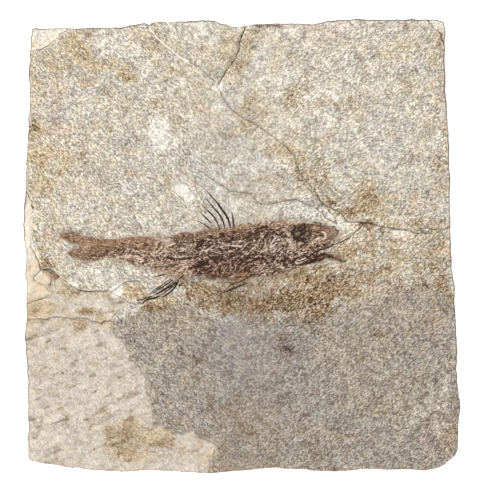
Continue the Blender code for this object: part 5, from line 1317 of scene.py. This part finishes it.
def rock_look(tree, slab):
    """Colour and height of split limestone, with its marks and the noise that breaks up its stains."""
    place = add_node(tree, "TexCoord")["Object"]
    marks = {name: add_node(tree, "Attribute", {"attribute_name": name})["Fac"] for name in ROCK_MARKS}
    east, _, up = add_node(tree, "SeparateXYZ", inputs={0: place})
    lean = add_node(tree, "MapRange", SOFT, {0: east, 1: -0.03, 2: 0.03})[0]
    # Lime grains, each of its own shade, drawn out along the slab's two leaning directions. Real grains
    # are about 0.1 mm; these are 0.35 mm, as fine as shows.
    grains = []
    for angle in (-42.0, 36.0):
        turned = add_node(tree, "Mapping", TURNED, {
            0: place, 2: (0.0, 0.0, math.radians(angle)), 3: (1.7, 1.0, 1.0)})[0]
        cells = add_node(tree, "TexVoronoi", {}, {"Vector": turned, "Scale": 2900.0})["Color"]
        grains.append(add_node(tree, "SeparateXYZ", inputs={0: cells})[0])
    fine = add_node(tree, "Mix", {}, {0: lean, 2: grains[0], 3: grains[1]})[0]
    # Clots of about 1, 3 and 12 mm.
    small, medium, broad = (
        add_node(tree, "TexNoise", {}, {"Vector": place, "Scale": scale, "Detail": 1.0,
                                        "Roughness": 0.55})["Fac"]
        for scale in (950.0, 300.0, 80.0))
    # Ground colour of the three fields.
    spalled = add_node(tree, "MapRange", SOFT, {0: marks["spall"], 1: -0.12, 2: 0.12})[0]
    colour = slab.field
    for amount, field in ((marks["grey"], slab.grey), (spalled, slab.spall)):
        colour = add_node(tree, "Mix", BLEND, {0: amount, 6: colour, 7: field})[2]
    hue = add_node(tree, "TexNoise", {}, {"Vector": place, "Scale": 300.0, "Detail": 0.5,
                                          "Roughness": 0.6})
    wide_hue = add_node(tree, "TexNoise", {}, {"Vector": place, "Scale": 55.0, "Detail": 1.0})
    green = add_node(tree, "SeparateXYZ", inputs={0: hue["Color"]})[1]
    tinted = add_node(tree, "MapRange", {}, {0: spalled, 3: 1.0, 4: 0.35})[0]
    for noise, stops in zip((hue["Fac"], wide_hue["Fac"], green), HUE_RAMPS):
        tint = set_ramp(add_node(tree, "ValToRGB", {}, {0: noise})[0], stops)
        colour = add_node(tree, "Mix", TINT, {0: tinted, 6: colour, 7: tint})[2]
    # Brown clots of 4 mm, and on the spall thin grey streaks 0.7 mm wide that rise to the right: painted
    # shade, as cast by its small ridges.
    clot = add_node(tree, "TexNoise", {}, {"Vector": place, "Scale": 240.0, "Detail": 2.0,
                                           "Roughness": 0.6})["Fac"]
    brown = add_node(tree, "MapRange", SOFT, {0: clot, 1: 0.5, 2: 0.68})[0]
    rising = add_node(tree, "Mapping", TURNED, {
        0: place, 2: (0.0, 0.0, math.radians(SPALL_RISE)), 3: (3.4, 1.0, 1.0)})[0]
    streak = add_node(tree, "TexNoise", {}, {"Vector": rising, "Scale": 620.0, "Detail": 2.0,
                                             "Roughness": 0.6})["Fac"]
    streak = add_node(tree, "MapRange", SOFT, {0: streak, 1: 0.5, 2: 0.72})[0]
    uneven = add_node(tree, "MapRange", {}, {0: clot, 1: 0.35, 2: 0.6, 3: 0.2})[0]
    for share in (uneven, spalled):
        streak = add_node(tree, "Math", TIMES, {0: streak, 1: share})[0]
    for amount, mixing, code in ((streak, TINT, "BDB5A6"), (brown, TINT, "F0E9E1"),
                                 (marks["white"], BLEND, "EFE8DC")):
        colour = add_node(tree, "Mix", mixing, {0: amount, 6: colour, 7: linear(code)})[2]
    # The clots give the stains ragged edges.
    ragged = add_node(tree, "Math", TIMES_PLUS, {0: medium, 1: 0.9, 2: -0.65})[0]
    ragged = add_node(tree, "Math", TIMES_PLUS, {0: small, 1: 0.4, 2: ragged})[0]
    for name, mixing, code, most in STAIN_LAYERS:
        amount = add_node(tree, "Math", PLUS, {0: marks[name], 1: ragged})[0]
        amount = add_node(tree, "MapRange", SOFT, {0: amount, 1: 0.1, 2: 0.8, 4: most})[0]
        colour = add_node(tree, "Mix", mixing, {0: amount, 6: colour, 7: linear(code)})[2]
    # Grain: weaker on the fresh spall and on whitened rock, stronger on stained rock.
    contrast = GRAIN_CONTRAST
    for name, change in GRAIN_CHANGES:
        contrast = add_node(tree, "Math", TIMES_PLUS, {0: marks[name], 1: change, 2: contrast})[0]
    contrast = add_node(tree, "Math", TIMES_PLUS, {0: spalled, 1: SPALL_GRAIN_CHANGE, 2: contrast})[0]
    shade = add_node(tree, "Math", MINUS, {0: fine, 1: 0.5})[0]
    shade = add_node(tree, "Math", TIMES_PLUS, {0: shade, 1: contrast, 2: -0.222})[0]
    for noise, weight in ((small, 0.15), (medium, 0.22), (broad, 0.05)):
        shade = add_node(tree, "Math", TIMES_PLUS, {0: noise, 1: weight, 2: shade})[0]
    # Added to the seen brightness, so that the hue of a stain is the same in light and dark grains.
    seen = add_node(tree, "Gamma", {}, {0: colour, 1: 1 / EYE_GAMMA})[0]
    seen = add_node(tree, "VectorMath", PLUS, {0: seen, 1: shade})[0]
    colour = add_node(tree, "Gamma", {}, {0: seen, 1: EYE_GAMMA})[0]
    # Dark lines lie in cracks, round chips and at the foot of ledges: painted shade in the crease, with
    # some dirt.
    # The lip above a ledge or chip is pale: a painted highlight. A crack whose ink is below zero is healed
    # with pale lime.
    half = add_node(tree, "MapRange", {}, {0: medium, 1: 0.3, 2: 0.7, 3: 0.12, 4: 0.24})[0]
    gaps = add_node(tree, "MapRange", {}, {0: small, 1: 0.35, 2: 0.6, 3: 0.65, 4: 1.25})[0]
    for name, darkness in (("spall", "dirt"), ("step", "dirt"), ("chip", "dirt"), ("crack", "ink")):
        off = add_node(tree, "Math", UNSIGNED, {0: marks[name]})[0]
        off = add_node(tree, "Math", {"operation": "DIVIDE"}, {0: off, 1: half})[0]
        line = add_node(tree, "MapRange", SOFT, {0: off, 1: 0.5, 2: 1.6, 3: 1.0, 4: 0.0})[0]
        dark = add_node(tree, "Math", TIMES, {0: gaps, 1: marks[darkness]})[0]
        dark = add_node(tree, "Math", CAPPED, {0: line, 1: dark})[0]
        if name == "crack":
            pale = add_node(tree, "Math", TIMES, {0: marks["ink"], 1: -1.0})[0]
            pale = add_node(tree, "Math", CAPPED, {0: line, 1: pale})[0]
        else:
            # A pale band of painted highlight along the upper edge of the ledge or chip.
            highlight_lip = add_node(tree, "Math", PLUS, {0: marks[name], 1: 0.5})[0]
            highlight_lip = add_node(tree, "Math", UNSIGNED, {0: highlight_lip})[0]
            highlight_lip = add_node(tree, "MapRange", SOFT, {0: highlight_lip, 1: 0.1, 2: 0.4, 3: 0.6, 4: 0.0})[0]
            pale = add_node(tree, "Math", TIMES, {0: highlight_lip, 1: marks["dirt"]})[0]
        for amount, code in ((dark, "503E30"), (pale, "F4F0E6" if name == "crack" else "E9E2D2")):
            colour = add_node(tree, "Mix", BLEND, {0: amount, 6: colour, 7: linear(code)})[2]
    # Laminae of the broken edge, about 0.8 mm thick, soiled olive brown, with a dark line of painted shade
    # at the rim.
    laid = add_node(tree, "Mapping", {}, {0: place, 3: (60.0, 60.0, 1100.0)})[0]
    layers = add_node(tree, "TexNoise", {}, {"Vector": laid, "Scale": 1.0, "Detail": 4.0,
                                             "Roughness": 0.6})["Fac"]
    layers = add_node(tree, "Math", TIMES_PLUS, {0: fine, 1: 0.5, 2: layers})[0]
    band = set_ramp(add_node(tree, "ValToRGB", {}, {0: layers})[0], LAMINA_RAMP)
    edge = add_node(tree, "Mix", TINT, {0: 1.0, 6: slab.wall, 7: band})[2]
    line = add_node(tree, "MapRange", SOFT, {0: marks["rim"], 1: 0.05, 2: 0.6, 3: 0.8, 4: 0.0})[0]
    near_top = add_node(tree, "MapRange", SOFT, {0: up, 1: 0.0095, 2: 0.0112})[0]
    for share in (near_top, marks["rim_shade_line"]):
        line = add_node(tree, "Math", TIMES, {0: line, 1: share})[0]
    for amount, paint in ((marks["wall"], edge), (line, linear("54473A"))):
        colour = add_node(tree, "Mix", BLEND, {0: amount, 6: colour, 7: paint})[2]
    height = add_node(tree, "Mix", {}, {0: marks["wall"], 2: shade, 3: layers})[0]
    return colour, height, {**marks, "fine": fine, "medium": medium, "place": place}


def new_material(name):
    """An empty material and its node tree."""
    material = bpy.data.materials.new(name)
    material.use_nodes = True
    tree = material.node_tree
    tree.nodes.clear()
    return material, tree


def finish_material(tree, colour, height, roughness):
    """Principled shader of dry stone or bone, with a bumped surface, linked to the output."""
    normal = add_node(tree, "Bump", {}, {"Strength": 0.8, "Distance": BUMP_HEIGHT, "Height": height})[0]
    shader = add_node(tree, "BsdfPrincipled", {}, {
        "Base Color": colour, "Roughness": roughness, "Normal": normal, "IOR": 1.5,
        "Specular IOR Level": 0.1})
    add_node(tree, "OutputMaterial", {}, {0: shader[0]})


def split_limestone(slab):
    """Limestone split along its bedding: matt and chalky, with a fine mottled grain and iron stains."""
    material, tree = new_material("limestone_split_along_bedding")
    colour, height, rock = rock_look(tree, slab)
    roughness = add_node(tree, "MapRange", {}, {0: rock["fine"], 3: 0.78, 4: 0.95})[0]
    finish_material(tree, colour, height, roughness)
    return material


def fossil_bone(slab, fish):
    """Carbonised fish on limestone: a satin brown film, near-black bone, and bare cream bone."""
    material, tree = new_material("carbonised_bone_film")
    stone, stone_height, rock = rock_look(tree, slab)
    marks = {name: add_node(tree, "Attribute", {"attribute_name": name})["Fac"] for name in FISH_MARKS}
    # Bone fibres, 0.3 mm wide and five times as long, in patches that lean two ways. Real ones are half
    # as wide; these are as fine as shows.
    fibres = []
    for angle in (-4.0, 34.0):
        leaning = add_node(tree, "Mapping", TURNED, {
            0: rock["place"], 2: (0.0, 0.0, math.radians(angle)), 3: (5.0, 1.0, 1.0)})[0]
        fibres.append(add_node(tree, "TexNoise", {}, {
            "Vector": leaning, "Scale": 3400.0, "Detail": 0.0, "Distortion": 0.6})["Fac"])
    patch = add_node(tree, "MapRange", SOFT, {0: rock["medium"], 1: 0.42, 2: 0.58})[0]
    fibre = add_node(tree, "Mix", {}, {0: patch, 2: fibres[0], 3: fibres[1]})[0]
    # Pale threads of bone run where a web of noise of about 1.5 mm crosses its middle.
    leaning = add_node(tree, "Mapping", TURNED, {
        0: rock["place"], 2: (0.0, 0.0, math.radians(26)), 3: (1.7, 1.0, 1.0)})[0]
    web = add_node(tree, "TexNoise", {}, {"Vector": leaning, "Scale": 640.0, "Detail": 2.0,
                                          "Roughness": 0.6, "Distortion": 1.6})["Fac"]
    off = add_node(tree, "Math", MINUS, {0: web, 1: 0.5})[0]
    off = add_node(tree, "Math", UNSIGNED, {0: off})[0]
    threads = add_node(tree, "MapRange", SOFT, {0: off, 1: 0.0, 2: 0.045, 3: 1.0, 4: 0.0})[0]
    threads = add_node(tree, "Math", TIMES, {0: threads, 1: marks["bone"]})[0]
    # How light the film is: its tone, the swing of its fibres and grit, its threads and its bones.
    light = add_node(tree, "Math", MINUS, {0: 1.0, 1: marks["tone"]})[0]
    for noise, busy, quiet in ((fibre, 1.7, 0.9), (rock["fine"], 0.95, 0.38)):
        spread = add_node(tree, "Math", MINUS, {0: noise, 1: 0.5})[0]
        swing = add_node(tree, "Math", TIMES_PLUS, {0: marks["bone"], 1: busy, 2: quiet})[0]
        light = add_node(tree, "Math", TIMES_PLUS, {0: spread, 1: swing, 2: light})[0]
    for amount, weight in ((threads, 0.09), (marks["dark"], -0.58), (marks["bare"], 0.5)):
        light = add_node(tree, "Math", TIMES_PLUS, {0: amount, 1: weight, 2: light})[0]
    body = set_ramp(add_node(tree, "ValToRGB", {}, {0: light})[0], FILM_RAMP)
    plum = add_node(tree, "Math", TIMES, {0: marks["plum"], 1: 0.8})[0]
    warmth = add_node(tree, "Mix", BLEND, {0: marks["bone"], 6: fish.film, 7: linear("FAF4F2")})[2]
    film = add_node(tree, "Mix", TINT, {0: 1.0, 6: body, 7: warmth})[2]
    film = add_node(tree, "Mix", TINT, {0: plum, 6: film, 7: linear("EFDCE2")})[2]
    thin = add_node(tree, "Math", TIMES_PLUS, {0: rock["fine"], 1: 0.9, 2: marks["film"]})[0]
    cover = add_node(tree, "MapRange", SOFT, {0: thin, 1: 0.62, 2: 1.12})[0]
    colour = add_node(tree, "Mix", BLEND, {0: cover, 6: stone, 7: film})[2]
    speckle = add_node(tree, "MapRange", {}, {0: rock["fine"], 3: 1.25, 4: 0.6})[0]
    solid = add_node(tree, "MapRange", {}, {0: marks["bare"], 1: 0.7, 2: 1.2})[0]
    # The crack through the gape stays open in the film, drawn dark: painted shade in its groove, with some
    # dirt.
    off = add_node(tree, "Math", UNSIGNED, {0: rock["crack"]})[0]
    line = add_node(tree, "MapRange", SOFT, {0: off, 1: 0.1, 2: 0.38, 3: 1.0, 4: 0.0})[0]
    for amount, share, paint in ((marks["black"], speckle, fish.dark), (solid, speckle, fish.pale),
                                 (line, rock["ink"], linear("32261F"))):
        amount = add_node(tree, "Math", CAPPED, {0: amount, 1: share})[0]
        colour = add_node(tree, "Mix", BLEND, {0: amount, 6: colour, 7: paint})[2]
    height = add_node(tree, "Mix", {}, {0: cover, 2: stone_height, 3: fibre})[0]
    roughness = add_node(tree, "MapRange", {}, {0: cover, 3: 0.9, 4: 0.62})[0]
    finish_material(tree, colour, height, roughness)
    return material


def dress(piece, material, node):
    """Gives a finished piece its material, hangs it under the root body and hides the model's solid that
    it stands for.
    """
    piece.data.materials.append(material)
    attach(piece, "root")
    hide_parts(node)


class FOSSIL_OT_limestone_plate(bpy.types.Operator):
    """Makes the limestone plate with its breaks and its finish"""
    bl_idname = "fossil.limestone_plate"
    bl_label = "Limestone Plate"

    def execute(self, context):
        slab = context.scene.fossil_slab
        piece = make_piece("limestone_plate", *plate_geometry(slab))
        dress(piece, split_limestone(slab), "limestone_slab")
        return {"FINISHED"}


class FOSSIL_OT_fish(bpy.types.Operator):
    """Makes the flattened fish and its fin rays"""
    bl_idname = "fossil.fish"
    bl_label = "Fish"

    def execute(self, context):
        slab = context.scene.fossil_slab
        fish = context.scene.fossil_fish
        finish = fossil_bone(slab, fish)
        for name, parts in (("fish_body", body_geometry(slab, fish)),
                            ("fish_fin_rays", ray_geometry(slab))):
            dress(make_piece(name, *parts), finish, "fossil_fish")
        return {"FINISHED"}


class FOSSIL_OT_stage(bpy.types.Operator):
    """Sets up the pale floor, the soft light and the overhead camera"""
    bl_idname = "fossil.stage"
    bl_label = "Stage"

    def execute(self, context):
        stage = context.scene.fossil_stage
        add_floor(stage)
        add_lights(context.scene)
        add_camera(context.scene, stage)
        return {"FINISHED"}


class FOSSIL_PT_panel(bpy.types.Panel):
    """Lists the pieces of the fossil slab"""
    bl_idname = "FOSSIL_PT_panel"
    bl_label = "Fossil Fish Slab"
    bl_space_type = "VIEW_3D"
    bl_region_type = "UI"
    bl_category = "Fossil"

    def draw(self, context):
        groups = (
            (FOSSIL_OT_limestone_plate, context.scene.fossil_slab),
            (FOSSIL_OT_fish, context.scene.fossil_fish),
            (FOSSIL_OT_stage, context.scene.fossil_stage),
        )
        for operator, settings in groups:
            box = self.layout.box()
            for name in settings.__annotations__:
                box.prop(settings, name)
            box.operator(operator.bl_idname)


def add_floor(stage):
    """A flat disc just under the slab, which gives a little light of its own so that it stays white."""
    turn = np.linspace(0.0, 2 * math.pi, FLOOR_SIDES, endpoint=False)
    mesh = bpy.data.meshes.new("floor")
    disc = np.stack([FLOOR_RADIUS * np.cos(turn), FLOOR_RADIUS * np.sin(turn), 0 * turn - FLOOR_GAP],
                    axis=1)
    mesh.from_pydata(disc.tolist(), [], [list(range(FLOOR_SIDES))])
    floor = bpy.data.objects.new("floor", mesh)
    bpy.context.scene.collection.objects.link(floor)
    material, tree = new_material("white_card")
    shader = add_node(tree, "BsdfPrincipled", {},
                      {"Base Color": stage.floor, "Roughness": 0.9, "Emission Color": (1, 1, 1, 1),
                       "Emission Strength": 0.5, "Specular IOR Level": 0.2})
    add_node(tree, "OutputMaterial", {}, {0: shader[0]})
    mesh.materials.append(material)


def add_lights(scene):
    """A soft white surround, a wide panel overhead and a small one low on the upper left."""
    world = bpy.data.worlds.new("studio")
    world.use_nodes = True
    tree = world.node_tree
    tree.nodes.clear()
    sky = add_node(tree, "Background", {}, {0: (1.0, 1.0, 1.0, 1.0), 1: SKY_STRENGTH})
    add_node(tree, "OutputWorld", {}, {0: sky[0]})
    scene.world = world
    for name, place, size, power in LAMPS:
        light = bpy.data.lights.new(name, "AREA")
        light.size = size
        light.energy = power
        lamp = bpy.data.objects.new(name, light)
        lamp.location = place
        lamp.rotation_euler = Vector(place).to_track_quat("Z", "Y").to_euler()
        scene.collection.objects.link(lamp)
    scene.view_settings.view_transform = "Standard"


def add_camera(scene, stage):
    """A long lens straight above; its view is VIEW_WIDTH wide where it meets the bedding plane."""
    data = bpy.data.cameras.new("camera")
    data.sensor_width = SENSOR_WIDTH
    data.lens = SENSOR_WIDTH * stage.distance / stage.view_width
    data.clip_end = 20.0
    camera = bpy.data.objects.new("camera", data)
    camera.location = (*VIEW_CENTRE, THICKNESS * MM + stage.distance)
    scene.collection.objects.link(camera)
    scene.camera = camera


CLASSES = (
    FossilSlabSettings,
    FossilFishSettings,
    FossilStageSettings,
    FOSSIL_OT_limestone_plate,
    FOSSIL_OT_fish,
    FOSSIL_OT_stage,
    FOSSIL_PT_panel,
)


def register():
    for item in CLASSES:
        bpy.utils.register_class(item)
    bpy.types.Scene.fossil_slab = bpy.props.PointerProperty(type=FossilSlabSettings)
    bpy.types.Scene.fossil_fish = bpy.props.PointerProperty(type=FossilFishSettings)
    bpy.types.Scene.fossil_stage = bpy.props.PointerProperty(type=FossilStageSettings)


def unregister():
    for name in ("fossil_slab", "fossil_fish", "fossil_stage"):
        delattr(bpy.types.Scene, name)
    for item in reversed(CLASSES):
        bpy.utils.unregister_class(item)


def main():
    """Builds every piece."""
    register()
    bpy.ops.fossil.limestone_plate()
    bpy.ops.fossil.fish()
    bpy.ops.fossil.stage()


if __name__ == "__main__":
    main()
